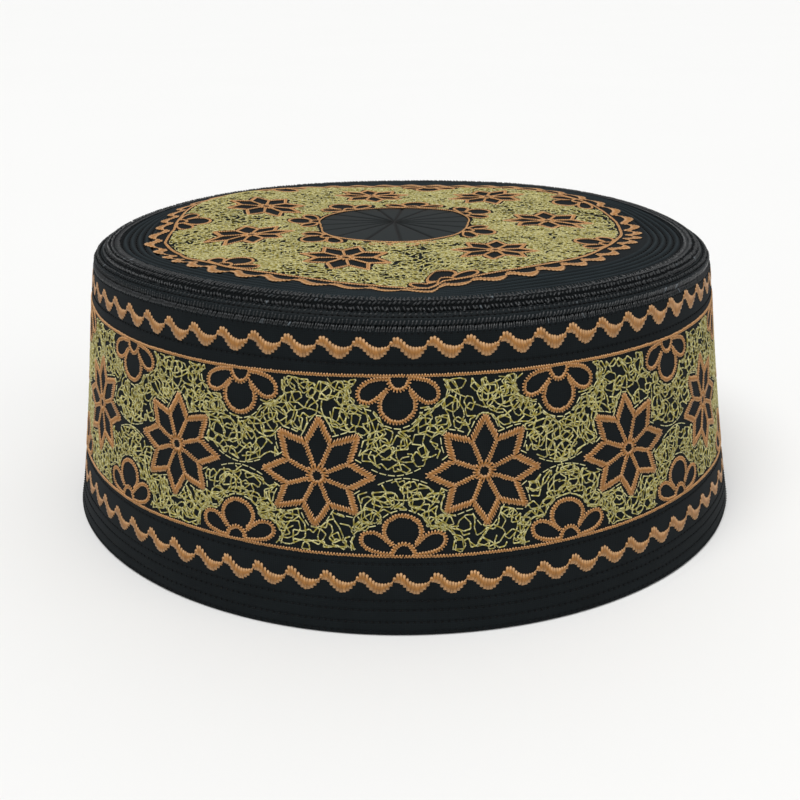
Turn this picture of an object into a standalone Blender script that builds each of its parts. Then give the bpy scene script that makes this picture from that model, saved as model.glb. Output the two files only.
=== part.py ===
"""Kufi: a stiff, quilted round cap with a flat crown, standing on its hem.

Metres, +Z up. The origin is on the floor under the middle of the cap, +X runs along
the longer way of the oval and -Y is the side that faces the viewer.
"""

import math

import bmesh
import bpy

# Driving sizes of the cap, in metres
HEAD_LENGTH = 0.1890  # inside the hem, along X
HEAD_WIDTH = 0.1836  # inside the hem, along Y
WALL = 0.0025  # quilted cloth of the side band
BAND_HEIGHT = 0.0700  # hem to the band's top edge
BAND_TAPER = 0.0110  # how far the band's outside leans in between hem and top edge
BAND_WAIST = 0.0007  # how far the band's side is hollow half way up
TOP_ROUND = 0.0008  # rounding of the band's top edge
CROWN_CLOTH = 0.0021  # quilted cloth of the crown
CROWN_DOME = 0.0012  # rise of the crown's middle over its edge

# The two ridges of the seam between band and crown, each lying on its own slope
ROLL_SLOPE = math.radians(42)
ROLL_WIDTH = 0.0028  # folded edge roll, along its slope
ROLL_THICKNESS = 0.0022
ROLL_SETBACK = 0.0007  # how far the roll stands back from the band's face
OVERCAST_SLOPE = math.radians(22)
OVERCAST_WIDTH = 0.0034  # overcast ridge, along its slope
OVERCAST_THICKNESS = 0.0022
CROWN_STEP = 0.0016  # crown's upper face over the middle of the overcast ridge
SEAM_GAP = 0.0003  # clearance between neighbouring pieces

# How finely the pieces are drawn
SIDES = 72
RIDGE_SIDES = 10

# Heights along the band's outside, as shares of BAND_HEIGHT
BAND_ROWS = (0.0, 0.17, 0.34, 0.51, 0.68, 0.85, 0.95, 1.0)

# Rings of the crown, as shares of its edge's distance from the middle
CROWN_RINGS = (0.05, 0.16, 0.28, 0.42, 0.55, 0.67, 0.78, 0.86, 0.93, 1.0)

# Where the stiff cloth is not quite flat. angle and spread are in degrees round the
# cap from +X; at and reach are shares of the crown's edge distance; rise is a share
# of BAND_HEIGHT.
CROWN_SWELLS = (
    {"name": "rear left swell", "angle": 150, "spread": 30, "at": 0.80, "reach": 0.30, "rise": 0.040},
    {"name": "rear right swell", "angle": 42, "spread": 22, "at": 0.84, "reach": 0.22, "rise": 0.019},
    {"name": "front dip", "angle": 268, "spread": 15, "at": 0.82, "reach": 0.24, "rise": -0.030},
    {"name": "front right fold", "angle": 297, "spread": 14, "at": 0.82, "reach": 0.24, "rise": 0.013},
    {"name": "left hollow", "angle": 205, "spread": 13, "at": 0.84, "reach": 0.16, "rise": -0.028},
    {"name": "right hollow", "angle": 2, "spread": 14, "at": 0.82, "reach": 0.18, "rise": -0.020},
)

# How the rim rises and falls round the cap: waves counts the rises in a full turn,
# peak is the angle of the first one in degrees, rise is a share of BAND_HEIGHT. The
# band follows each one from the share "low" of its height, and fully from "high" on.
RIM_WAVES = (
    {"name": "tilt", "waves": 1, "peak": 235, "rise": 0.009, "low": 0.0, "high": 1.0},
    {"name": "saddle", "waves": 2, "peak": 35, "rise": 0.004, "low": 0.0, "high": 1.0},
    {"name": "seam saddle", "waves": 2, "peak": 90, "rise": 0.008, "low": 0.9, "high": 1.0},
    {"name": "seam tilt", "waves": 1, "peak": 90, "rise": 0.005, "low": 0.9, "high": 1.0},
    {"name": "seam corners", "waves": 4, "peak": 45, "rise": 0.005, "low": 0.9, "high": 1.0},
)

# Flats of the band: depth is a share of HEAD_LENGTH, angle and spread in degrees.
BAND_FLATS = (
    {"name": "front left flat", "angle": 222, "spread": 26, "depth": 0.0060},
)

CLOTH_COLOUR = (0.012, 0.013, 0.015, 1.0)
ROLL_COLOUR = (0.016, 0.017, 0.019, 1.0)
THREAD_COLOUR = (0.020, 0.021, 0.024, 1.0)

OUTER_LENGTH = HEAD_LENGTH / 2 + WALL
OUTER_WIDTH = HEAD_WIDTH / 2 + WALL


def bell(distance, spread):
    """1 at no distance, falling smoothly to 0 at twice the spread."""
    share = min(abs(distance) / (2 * spread), 1.0)
    return (1 - share * share) ** 3


def turn_between(angle, other):
    """The way round between two angles in degrees, at most 180."""
    return abs((angle - other + 180) % 360 - 180)


def smooth_share(value, low, high):
    """0 up to the low value, 1 from the high one, smooth in between."""
    share = min(max((value - low) / (high - low), 0.0), 1.0)
    return share * share * (3 - 2 * share)


def rim_lift(angle, height):
    """How much higher the rim's waves put a point of the plain cap, angle in radians."""
    return BAND_HEIGHT * sum(
        wave["rise"] * math.cos(wave["waves"] * (angle - math.radians(wave["peak"])))
        * smooth_share(height / BAND_HEIGHT, wave["low"], wave["high"])
        for wave in RIM_WAVES
    )


def flat_depth(angle):
    """How far the flats push the band in, at an angle in radians."""
    turned = math.degrees(angle)
    return HEAD_LENGTH * sum(
        flat["depth"] * bell(turn_between(turned, flat["angle"]), flat["spread"])
        for flat in BAND_FLATS
    )


def oval_point(angle, inset, height):
    """A point inset from the hem's outside line, at this height of the plain cap."""
    depth = inset + flat_depth(angle) * (1 - smooth_share(height / BAND_HEIGHT, 0.0, 1.0))
    return (
        (OUTER_LENGTH - depth) * math.cos(angle),
        (OUTER_WIDTH - depth) * math.sin(angle),
        height + rim_lift(angle, height),
    )


def band_inset(height):
    """How far the band's outside stands inside the hem's line at this height."""
    share = height / BAND_HEIGHT
    return BAND_TAPER * share + BAND_WAIST * 4 * share * (1 - share)


def crown_rise(share, angle):
    """The crown's height over its edge, at a share of the way out from the middle."""
    turned = math.degrees(angle)
    rise = CROWN_DOME * (1 - share * share)
    for swell in CROWN_SWELLS:
        round_the_cap = bell(turn_between(turned, swell["angle"]), swell["spread"])
        out_from_middle = bell(share - swell["at"], swell["reach"])
        edge = min((1 - share) / (1 - swell["at"]), 1.0)
        rise += BAND_HEIGHT * swell["rise"] * round_the_cap * out_from_middle * edge
    return rise


def angles():
    return [2 * math.pi * i / SIDES for i in range(SIDES)]


def add_ring(mesh, points):
    return [mesh.verts.new(point) for point in points]


def join_rings(mesh, rings):
    """Faces between each ring of corners and the next."""
    for lower, upper in zip(rings, rings[1:]):
        for i in range(len(lower)):
            mesh.faces.new((lower[i - 1], lower[i], upper[i], upper[i - 1]))


def fill_ring(mesh, ring, middle_point):
    """A fan of faces from the ring to one point in its middle."""
    middle = mesh.verts.new(middle_point)
    for i in range(len(ring)):
        mesh.faces.new((ring[i - 1], ring[i], middle))


def material(name, colour, roughness):
    made = bpy.data.materials.new(name)
    made.use_nodes = True
    shader = made.node_tree.nodes["Principled BSDF"]
    shader.inputs["Base Color"].default_value = colour
    shader.inputs["Roughness"].default_value = roughness
    shader.inputs["Metallic"].default_value = 0.0
    return made


def finish(name, mesh, finish_material):
    """Turns the built mesh into a named, smooth-shaded object."""
    bmesh.ops.recalc_face_normals(mesh, faces=mesh.faces)
    data = bpy.data.meshes.new(name)
    mesh.to_mesh(data)
    mesh.free()
    data.shade_smooth()
    data.set_sharp_from_angle(angle=math.radians(50))
    data.materials.append(finish_material)
    made = bpy.data.objects.new(name, data)
    bpy.context.scene.collection.objects.link(made)
    return made


def tube_round_the_cap(section):
    """A closed ring whose cross-section is a list of (inset, height) corners."""
    mesh = bmesh.new()
    rings = [
        add_ring(mesh, [oval_point(angle, inset, height) for angle in angles()])
        for inset, height in section
    ]
    join_rings(mesh, rings + rings[:1])
    return mesh


def ridge_section(centre_inset, centre_height, width, thickness, slope):
    """Corners of an elliptic ridge whose width lies along its slope."""
    corners = []
    for i in range(RIDGE_SIDES):
        turn = 2 * math.pi * i / RIDGE_SIDES
        along = width / 2 * math.cos(turn)
        across = thickness / 2 * math.sin(turn)
        corners.append((
            centre_inset + along * math.cos(slope) - across * math.sin(slope),
            centre_height + along * math.sin(slope) + across * math.cos(slope),
        ))
    return corners


def reach(width, thickness, turned):
    """How far an ellipse reaches from its middle, turned this far from its width."""
    return math.hypot(width / 2 * math.cos(turned), thickness / 2 * math.sin(turned))


# Places of the ridges and of the crown's edge, each from the piece that it sits on
ROLL_INSET = BAND_TAPER + ROLL_SETBACK + reach(ROLL_WIDTH, ROLL_THICKNESS, ROLL_SLOPE)
ROLL_HEIGHT = (
    BAND_HEIGHT + SEAM_GAP + reach(ROLL_WIDTH, ROLL_THICKNESS, math.pi / 2 - ROLL_SLOPE)
)
STEP_SLOPE = (ROLL_SLOPE + OVERCAST_SLOPE) / 2
RIDGE_STEP = (
    reach(ROLL_WIDTH, ROLL_THICKNESS, ROLL_SLOPE - STEP_SLOPE)
    + reach(OVERCAST_WIDTH, OVERCAST_THICKNESS, STEP_SLOPE - OVERCAST_SLOPE)
    + SEAM_GAP
)
OVERCAST_INSET = ROLL_INSET + RIDGE_STEP * math.cos(STEP_SLOPE)
OVERCAST_HEIGHT = ROLL_HEIGHT + RIDGE_STEP * math.sin(STEP_SLOPE)
CROWN_INSET = (
    OVERCAST_INSET + SEAM_GAP + reach(OVERCAST_WIDTH, OVERCAST_THICKNESS, OVERCAST_SLOPE)
)
CROWN_TOP = OVERCAST_HEIGHT + CROWN_STEP


def make_side_band(finish_material):
    """The quilted wall: a closed, leaning ring of even thickness with a flat hem."""
    outside = [(band_inset(BAND_HEIGHT * share), BAND_HEIGHT * share) for share in BAND_ROWS]
    top_inset, top_height = outside[-1]
    outside[-1:] = [
        (top_inset, top_height - TOP_ROUND),
        (top_inset + TOP_ROUND, top_height),
    ]
    inside = [
        (top_inset + WALL - TOP_ROUND, top_height),
        (top_inset + WALL, top_height - TOP_ROUND),
    ]
    inside += [
        (band_inset(BAND_HEIGHT * share) + WALL, BAND_HEIGHT * share)
        for share in reversed(BAND_ROWS[:-1:2])
    ]
    return finish("side_band", tube_round_the_cap(outside + inside), finish_material)


def make_edge_roll(finish_material):
    """The band's folded top edge, stitched into a soft roll."""
    section = ridge_section(
        ROLL_INSET, ROLL_HEIGHT, ROLL_WIDTH, ROLL_THICKNESS, ROLL_SLOPE
    )
    return finish("edge_roll", tube_round_the_cap(section), finish_material)


def make_overcast_ridge(finish_material):
    """The ridge of overcast thread that joins the crown to the band."""
    section = ridge_section(
        OVERCAST_INSET, OVERCAST_HEIGHT, OVERCAST_WIDTH, OVERCAST_THICKNESS, OVERCAST_SLOPE
    )
    return finish("overcast_ridge", tube_round_the_cap(section), finish_material)


def crown_ring(share, drop):
    """Points of one ring of the crown, drop below its upper face."""
    points = []
    for angle in angles():
        x, y, z = oval_point(angle, CROWN_INSET, CROWN_TOP)
        lift = (z - CROWN_TOP) * share * share
        height = CROWN_TOP + lift + crown_rise(share, angle) - drop
        points.append((x * share, y * share, height))
    return points


def make_crown_panel(finish_material):
    """The flat round top: a quilted disc with the swells and dips of soft cloth."""
    mesh = bmesh.new()
    upper = [add_ring(mesh, crown_ring(share, 0.0)) for share in CROWN_RINGS]
    lower = [add_ring(mesh, crown_ring(share, CROWN_CLOTH)) for share in CROWN_RINGS]
    join_rings(mesh, upper + lower[::-1])
    fill_ring(mesh, upper[0], crown_ring(0.0, 0.0)[0])
    fill_ring(mesh, lower[0], crown_ring(0.0, CROWN_CLOTH)[0])
    return finish("crown_panel", mesh, finish_material)


def main():
    for old in list(bpy.data.objects):
        bpy.data.objects.remove(old)
    cloth = material("black_cotton", CLOTH_COLOUR, 0.85)
    roll = material("black_folded_cotton", ROLL_COLOUR, 0.75)
    thread = material("black_thread", THREAD_COLOUR, 0.5)
    make_side_band(cloth)
    make_edge_roll(roll)
    make_overcast_ridge(thread)
    make_crown_panel(cloth)


main()
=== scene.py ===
import functools
import math

import bmesh
import bpy
import numpy as np
from bpy.props import FloatProperty, FloatVectorProperty, IntProperty, PointerProperty
from mathutils import Matrix, Vector


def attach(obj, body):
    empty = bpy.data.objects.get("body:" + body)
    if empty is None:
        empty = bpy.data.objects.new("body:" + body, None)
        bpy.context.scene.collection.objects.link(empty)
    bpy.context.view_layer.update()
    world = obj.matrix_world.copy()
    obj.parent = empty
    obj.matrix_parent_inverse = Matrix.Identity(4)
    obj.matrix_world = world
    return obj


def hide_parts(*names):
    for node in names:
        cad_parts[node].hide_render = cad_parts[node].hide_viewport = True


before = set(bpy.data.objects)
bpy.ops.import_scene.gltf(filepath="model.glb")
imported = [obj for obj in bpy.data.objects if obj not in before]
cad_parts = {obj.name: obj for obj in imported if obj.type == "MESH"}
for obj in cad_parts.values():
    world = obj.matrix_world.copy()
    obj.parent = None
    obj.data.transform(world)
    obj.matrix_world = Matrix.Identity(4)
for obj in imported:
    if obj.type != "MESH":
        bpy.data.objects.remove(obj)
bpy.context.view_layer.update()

bl_info = {
    "name": "Embroidered Kufi",
    "version": (1, 0, 0),
    "blender": (4, 5, 0),
    "location": "3D View > Sidebar > Kufi",
    "description": "Builds a stiff quilted kufi with its embroidery, and a plain studio",
    "category": "Object",
}

MM = 0.001

# The cap's solids, with the sizes that its source gives them
WALL = 2.5 * MM
TOP_ROUND = 0.8 * MM
HEM_ROUND = 0.9 * MM
CROWN_CLOTH = 2.1 * MM
CROWN_DOME = 1.2 * MM
ROLL_SLOPE = math.radians(42)
ROLL_WIDTH = 2.8 * MM
ROLL_THICKNESS = 2.2 * MM
ROLL_SETBACK = 0.7 * MM
OVERCAST_SLOPE = math.radians(22)
OVERCAST_WIDTH = 3.4 * MM
OVERCAST_THICKNESS = 2.2 * MM
CROWN_STEP = 1.6 * MM
SEAM_GAP = 0.3 * MM

# Faces round the band, round and across the ridges of the seam, and round the crown
ROUND_COUNT = 320
ROLL_COUNT = 36
OVERCAST_COUNT = 40
CROWN_COUNT = 480

# Swells and dips of the crown: angle and spread in degrees, at and reach as shares of
# the crown's edge distance, rise as a share of the band's height
CROWN_SWELLS = (
    {"name": "rear left swell", "angle": 150, "spread": 30, "at": 0.80, "reach": 0.30, "rise": 0.040},
    {"name": "rear right swell", "angle": 42, "spread": 22, "at": 0.84, "reach": 0.22, "rise": 0.019},
    {"name": "front dip", "angle": 268, "spread": 15, "at": 0.82, "reach": 0.24, "rise": -0.030},
    {"name": "front right fold", "angle": 297, "spread": 14, "at": 0.82, "reach": 0.24, "rise": 0.013},
    {"name": "left hollow", "angle": 205, "spread": 13, "at": 0.84, "reach": 0.16, "rise": -0.028},
    {"name": "right hollow", "angle": 2, "spread": 14, "at": 0.82, "reach": 0.18, "rise": -0.020},
)

# How the rim rises and falls round the cap, as shares of the band's height
RIM_WAVES = (
    {"name": "tilt", "waves": 1, "peak": 235, "rise": 0.009, "low": 0.0, "high": 1.0},
    {"name": "saddle", "waves": 2, "peak": 35, "rise": 0.004, "low": 0.0, "high": 1.0},
    {"name": "seam saddle", "waves": 2, "peak": 90, "rise": 0.008, "low": 0.9, "high": 1.0},
    {"name": "seam tilt", "waves": 1, "peak": 90, "rise": 0.005, "low": 0.9, "high": 1.0},
    {"name": "seam corners", "waves": 4, "peak": 45, "rise": 0.005, "low": 0.9, "high": 1.0},
)

# Where the band is pressed in towards its hem, in degrees
FLAT = {"name": "front left flat", "angle": 222, "spread": 26, "depth": 1.134 * MM}

# Faint unevenness of hand-finished cloth: waves round the cap, waves up the band,
# phase in degrees and depth
RIPPLES = (
    {"round": 3, "up": 0.7, "phase": 40, "depth": 0.10 * MM},
    {"round": 7, "up": 1.3, "phase": 200, "depth": 0.08 * MM},
    {"round": 13, "up": 0.9, "phase": 310, "depth": 0.06 * MM},
    {"round": 23, "up": 1.9, "phase": 95, "depth": 0.04 * MM},
)

# Heights on the band, from the hem up
LOWER_QUILTING = (1.0 * MM, 3.3 * MM, 6.1 * MM, 8.3 * MM)
UPPER_QUILTING = (16.9 * MM, 62.0 * MM)
BAND_ROWS = (*LOWER_QUILTING, *UPPER_QUILTING)
LOWER_WAVE_AXIS = 12.8 * MM
UPPER_WAVE_AXIS = 66.6 * MM
LOWER_LINE = 18.4 * MM
UPPER_LINE = 60.3 * MM
STAR_HEIGHT = 38.1 * MM
QUILTING_DEPTH = 0.14 * MM

# Channels of the seam's two ridges, as turns across them in degrees
ROLL_CHANNELS = (50, 98, 196)
OVERCAST_CHANNELS = (24, 76, 118)

# Distances from the middle of the crown's embroidery; then where that middle lies on the
# crown, how much smaller than on the band its ornaments are, where the fan's lines meet,
# and the angle of the first of them in degrees
FAN_RADIUS = 23.0 * MM
RING_LINE = 63.0 * MM
CROWN_WAVE_AXIS = 66.1 * MM
CROWN_ROWS = (70.4 * MM, 72.3 * MM, 74.2 * MM, 76.1 * MM, 78.0 * MM)
CROWN_MIDDLE = np.array([-2.4 * MM, -1.6 * MM])
CROWN_SCALE = 0.91
FAN_HUB = np.array([-2.0 * MM, 1.6 * MM])
FAN_LINE = 274

# How far out the ring and the fan's edge really run, in degrees and millimetres,
# because the crown's cloth is pulled and folded
RING_RUN = (
    (0, 65.0), (10, 66.8), (25, 67.3), (40, 66.5), (70, 65.3), (110, 65.3), (140, 66.3), (156, 66.0),
    (171, 62.6), (184, 61.6), (194, 63.9), (206, 62.0), (218, 63.5), (232, 64.7), (248, 63.6), (259, 61.8),
    (266, 60.9), (272, 62.3), (277.5, 65.9), (281.5, 61.1), (288, 62.8), (298, 63.9), (311, 63.1),
    (330, 62.3), (345, 63.2), (360, 65.0),
)
FAN_RUN = (
    (0, 21.4), (20, 23.2), (45, 25.2), (65, 24.4), (90, 23.6), (130, 23.4), (150, 22.7), (168, 21.7),
    (183, 20.5), (198, 20.8), (212, 22.5), (226, 23.7), (256, 24.2), (272, 24.7), (288, 24.7), (302, 23.9),
    (315, 23.5), (335, 21.9), (348, 21.3), (360, 21.4),
)

# How far the band's embroidery really lies off its even drawing, at heights of the
# drawing: places round it in star spacings from the front, then along and up in
# millimetres
BAND_RUN = (
    {"height": 12.8, "rows": (
        (-3.3, 0.0, 0.0), (-2.3, -0.9, -0.75), (-1.4, -0.3, -0.5), (-0.5, -0.2, 0.0), (0.5, 0.0, 0.0),
        (1.1, 0.25, -0.25), (1.6, 0.6, -0.5), (2.3, 0.5, -0.55), (3.3, 0.0, 0.0),
    )},
    {"height": 18.4, "rows": (
        (-3.3, 0.0, 0.0), (-2.0, -1.4, 0.0), (-1.0, -2.0, 0.5), (0.0, 0.0, 0.45), (1.0, 1.5, 0.2),
        (2.0, 1.4, 0.3), (3.3, 0.0, 0.0),
    )},
    {"height": 38.1, "rows": (
        (-3.3, 0.0, 0.0), (-2.5, -0.4, -0.3), (-1.5, -1.2, -0.5), (-0.5, -0.45, -1.65), (0.5, 0.0, -0.5),
        (1.5, 1.2, -1.5), (2.5, 0.0, 0.5), (3.3, 0.0, 0.0),
    )},
    {"height": 60.3, "rows": (
        (-3.3, 0.0, -0.6), (-2.0, 0.0, -1.7), (-1.0, -0.75, -1.45), (0.0, 0.7, -0.65), (1.0, 0.5, -0.4),
        (2.0, -0.8, -0.6), (3.3, 0.0, 0.0),
    )},
    {"height": 66.6, "rows": (
        (-3.3, 0.0, -0.6), (-2.4, 0.0, -1.1), (-1.4, -0.2, -1.3), (-0.5, -0.2, -0.7), (0.0, -0.2, -0.25),
        (0.5, -0.4, 0.0), (1.0, -0.4, 0.25), (1.7, 0.2, 0.25), (2.3, 0.7, 0.95), (3.3, 0.0, 0.0),
    )},
)

# Where the stars and half flowers of the crown lie, in degrees round its middle
CROWN_STARS = (
    {"angle": 151.7, "out": 42.9 * MM},
    {"angle": 198.4, "out": 42.8 * MM},
    {"angle": 254.1, "out": 41.3 * MM},
    {"angle": 307.0, "out": 43.0 * MM},
    {"angle": 6.9, "out": 44.5 * MM},
    {"angle": 53.6, "out": 47.2 * MM},
    {"angle": 98.9, "out": 44.5 * MM},
)
RING_FLOWERS = (177, 230, 282, 337, 29, 79, 126)
FAN_FLOWERS = (171, 224, 276, 334, 33, 77, 122)

# The half flower at the front of the fan, squeezed by the fold in the cloth
FOLDED_FLOWER = {"angle": 276, "tall": 0.5}

# One wave of the border: how far along it, and its upper and lower edge over the
# line through the thin links, in millimetres
WAVE = (
    {"at": 0.00, "upper": 0.25, "lower": -0.10},
    {"at": 0.04, "upper": 1.10, "lower": -0.20},
    {"at": 0.10, "upper": 1.90, "lower": -0.30},
    {"at": 0.17, "upper": 2.20, "lower": -0.40},
    {"at": 0.27, "upper": 1.85, "lower": -0.80},
    {"at": 0.36, "upper": 1.05, "lower": -1.75},
    {"at": 0.45, "upper": 0.40, "lower": -2.45},
    {"at": 0.52, "upper": 0.10, "lower": -2.85},
    {"at": 0.61, "upper": -0.10, "lower": -3.05},
    {"at": 0.70, "upper": -0.25, "lower": -2.90},
    {"at": 0.79, "upper": -0.20, "lower": -2.30},
    {"at": 0.88, "upper": -0.10, "lower": -1.60},
    {"at": 0.95, "upper": 0.05, "lower": -0.80},
    {"at": 1.00, "upper": 0.20, "lower": -0.15},
)

# The star: its corners from its middle and the width of its satin lines, in
# millimetres, and how far the stitches of its outline lean towards the tips
STAR_POINTS = 8
STAR_TIP = 13.0
STAR_NOTCH = 7.7
STAR_RING = 1.9
STAR_EDGE_WIDTH = 2.0
STAR_SPOKE_WIDTH = 1.35
STAR_RING_WIDTH = 1.75
STAR_LEAN = 1.7

# The half flower over its line, in millimetres: petals are arcs of ovals, and the two
# side petals follow a line of corners
PETAL_WIDTH = 1.25
SIDE_PETAL_WIDTH = 1.15
PETALS = (
    {"middle": (-0.1, 6.3), "wide": 4.05, "tall": 3.95, "start": -52, "end": 232},
    {"middle": (0.0, 0.0), "wide": 2.5, "tall": 3.2, "start": 0, "end": 180},
)
SIDE_PETAL = (
    (2.3, 2.65), (3.0, 3.2), (4.1, 4.35), (5.2, 5.25), (6.3, 5.8), (7.9, 5.9), (9.1, 5.2), (9.4, 4.0),
    (9.1, 2.8), (8.0, 1.75), (6.6, 1.1), (5.2, 0.75), (3.9, 0.6), (2.6, 0.5),
)
SIDE_PETAL_SHARE = 0.96

# Running stitches that outline the ornaments: from needle hole to needle hole, and the
# gap between two of them, in millimetres
OUTLINE_STITCH = (2.0, 0.3)

# Widths of the plain satin lines in millimetres, and how much finer the stars and half
# flowers of the crown are stitched
LINE_WIDTH = 0.85
FAN_LINE_WIDTH = 0.6
CROWN_STAR_THIN = 0.72
CROWN_FLOWER_THIN = 0.75

# Circles of the crown's skin, in millimetres from its middle: they follow the edge of the
# fan and the rows of the margin closely; then the coarser ones of its underside
FAN_CIRCLES = (
    0.0, 1.5, 3.0, 5.0, 7.5, 10.0, 13.0, 16.0, 18.5, 20.2, 20.9, 21.5, 22.1, 22.7, 23.3, 23.9, 24.5, 25.2,
)
FIELD_CIRCLES = np.arange(27.0, 68.0, 4.0)
MARGIN_START = 68.2
MARGIN_CIRCLE_STEP = 0.28
UNDERSIDE_CIRCLES = (66, 48, 30, 12, 0)


def sizes():
    """The cap's sizes, as the panel shows them."""
    return bpy.context.scene.kufi_sizes


def stitching():
    """The counts and sizes of the stitches, as the panel shows them."""
    return bpy.context.scene.kufi_stitching


def span(gap):
    """How long flat vectors are."""
    return np.hypot(gap[..., 0], gap[..., 1])


def pointing(gap):
    """The angles that flat vectors point at."""
    return np.arctan2(gap[..., 1], gap[..., 0])


def ray(turn):
    """Flat vectors of length one at these angles."""
    return np.stack([np.cos(turn), np.sin(turn)], axis=-1)


# Shape of the cap


def bell(distance, spread):
    """1 at no distance, falling smoothly to 0 at twice the spread."""
    share = np.minimum(np.abs(distance) / (2 * spread), 1.0)
    return (1 - share * share) ** 3


def turn_between(angle, other):
    """The way round between two angles in degrees, at most 180."""
    return np.abs((angle - other + 180) % 360 - 180)


def smooth_share(value, low, high):
    """0 up to the low value, 1 from the high one, smooth in between."""
    share = np.clip((value - low) / (high - low), 0.0, 1.0)
    return share * share * (3 - 2 * share)


def rim_lift(angle, height):
    """How much higher the rim's waves put a point of the plain cap."""
    tall = sizes().band_height
    lift = 0.0
    for wave in RIM_WAVES:
        swing = np.cos(wave["waves"] * (angle - math.radians(wave["peak"])))
        lift = lift + tall * wave["rise"] * swing * smooth_share(height / tall, wave["low"], wave["high"])
    return lift


def ripple(angle, height):
    """The faint unevenness of the cloth at a point of the band."""
    share = height / sizes().band_height
    depth = 0.0
    for row in RIPPLES:
        phase = math.radians(row["phase"])
        depth = depth + row["depth"] * np.sin(row["round"] * angle + row["up"] * 2 * math.pi * share + phase)
    return depth


def oval_point(angle, inset, height):
    """Points inset from the hem's outside line, at this height of the plain cap."""
    cap = sizes()
    flat = FLAT["depth"] * bell(turn_between(np.degrees(angle), FLAT["angle"]), FLAT["spread"])
    depth = inset + flat * (1 - smooth_share(height / cap.band_height, 0.0, 1.0))
    x = (cap.hem_length / 2 - depth) * np.cos(angle)
    y = (cap.hem_width / 2 - depth) * np.sin(angle)
    return np.stack(np.broadcast_arrays(x, y, height + rim_lift(angle, height)), axis=-1)


def band_inset(height):
    """How far the band's outside stands inside the hem's line at this height."""
    cap = sizes()
    share = height / cap.band_height
    return cap.band_taper * share + cap.band_waist * 4 * share * (1 - share)


@functools.cache
def turn_table(*cap_sizes):
    """Angles round the band and how far round it each lies from the front, on the line
    at half its height, kept for each set of the cap's sizes."""
    angles = np.linspace(-math.pi / 2, 3 * math.pi / 2, 3601)
    half = sizes().band_height / 2
    line = oval_point(angles, band_inset(half), half)[:, :2]
    steps = np.linalg.norm(np.diff(line, axis=0), axis=1)
    return angles, np.concatenate(([0.0], np.cumsum(steps)))


def turns():
    """The table of angles and distances for the cap's sizes as they are now."""
    cap = sizes()
    return turn_table(cap.hem_length, cap.hem_width, cap.band_height, cap.band_taper, cap.band_waist)


def round_length():
    """Length of the line round the band at half its height."""
    return turns()[1][-1]


def angle_at(distance):
    """The angle of a point this far round the band from its front, towards +X."""
    angles, lengths = turns()
    return np.interp(distance % lengths[-1], lengths, angles)


def band_spot(flat, out=0.0):
    """A point of the band's face, from its distance round and its height."""
    angle, height = angle_at(flat[..., 0]), flat[..., 1]
    return oval_point(angle, band_inset(height) - out - ripple(angle, height), height)


def stitched_spot(flat, out=0.0):
    """A point of the band's face, from its place in the drawn pattern."""
    stars = stitching().stars
    place = (flat[..., 0] / (round_length() / stars) + stars / 2) % stars - stars / 2
    heights = np.array([row["height"] for row in BAND_RUN]) * MM
    tables = [np.array(row["rows"]) for row in BAND_RUN]
    index = np.clip(np.searchsorted(heights, flat[..., 1]) - 1, 0, len(heights) - 2)
    share = np.clip((flat[..., 1] - heights[index]) / (heights[index + 1] - heights[index]), 0, 1)
    moves = []
    for column in (1, 2):
        by_height = np.array([np.interp(place, table[:, 0], table[:, column]) for table in tables])
        low = np.take_along_axis(by_height, index[None], axis=0)[0]
        high = np.take_along_axis(by_height, index[None] + 1, axis=0)[0]
        moves.append((low * (1 - share) + high * share) * MM)
    return band_spot(flat + np.stack(moves, axis=-1), out)


def reach(width, thickness, turned):
    """How far an ellipse reaches from its middle, turned this far from its width."""
    return math.hypot(width / 2 * math.cos(turned), thickness / 2 * math.sin(turned))


def seam_places():
    """Middle of the roll, middle of the overcast ridge and edge of the crown."""
    cap = sizes()
    step_slope = (ROLL_SLOPE + OVERCAST_SLOPE) / 2
    roll = np.array([
        cap.band_taper + ROLL_SETBACK + reach(ROLL_WIDTH, ROLL_THICKNESS, ROLL_SLOPE),
        cap.band_height + SEAM_GAP + reach(ROLL_WIDTH, ROLL_THICKNESS, math.pi / 2 - ROLL_SLOPE),
    ])
    step = (
        reach(ROLL_WIDTH, ROLL_THICKNESS, ROLL_SLOPE - step_slope)
        + reach(OVERCAST_WIDTH, OVERCAST_THICKNESS, step_slope - OVERCAST_SLOPE)
        + SEAM_GAP
    )
    overcast = roll + step * np.array([math.cos(step_slope), math.sin(step_slope)])
    crown = overcast + np.array([
        SEAM_GAP + reach(OVERCAST_WIDTH, OVERCAST_THICKNESS, OVERCAST_SLOPE), CROWN_STEP,
    ])
    return {"roll": roll, "overcast": overcast, "crown": crown}


def ridge_spot(middle, width, thickness, slope):
    """A function that places points on a ridge, from the distance round it and the turn
    across it, a millimetre for each radian."""
    def spot(flat, out=0.0):
        angle, turn = angle_at(flat[..., 0]), flat[..., 1] / MM
        along = (width / 2 + out) * np.cos(turn)
        across = (thickness / 2 + out) * np.sin(turn)
        inset = middle[0] + along * math.cos(slope) - across * math.sin(slope)
        height = middle[1] + along * math.sin(slope) + across * math.cos(slope)
        return oval_point(angle, inset, height)
    return spot


def roll_spot():
    """The function that places points on the folded roll."""
    return ridge_spot(seam_places()["roll"], ROLL_WIDTH, ROLL_THICKNESS, ROLL_SLOPE)


def overcast_spot():
    """The function that places points on the overcast ridge."""
    return ridge_spot(seam_places()["overcast"], OVERCAST_WIDTH, OVERCAST_THICKNESS, OVERCAST_SLOPE)


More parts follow.
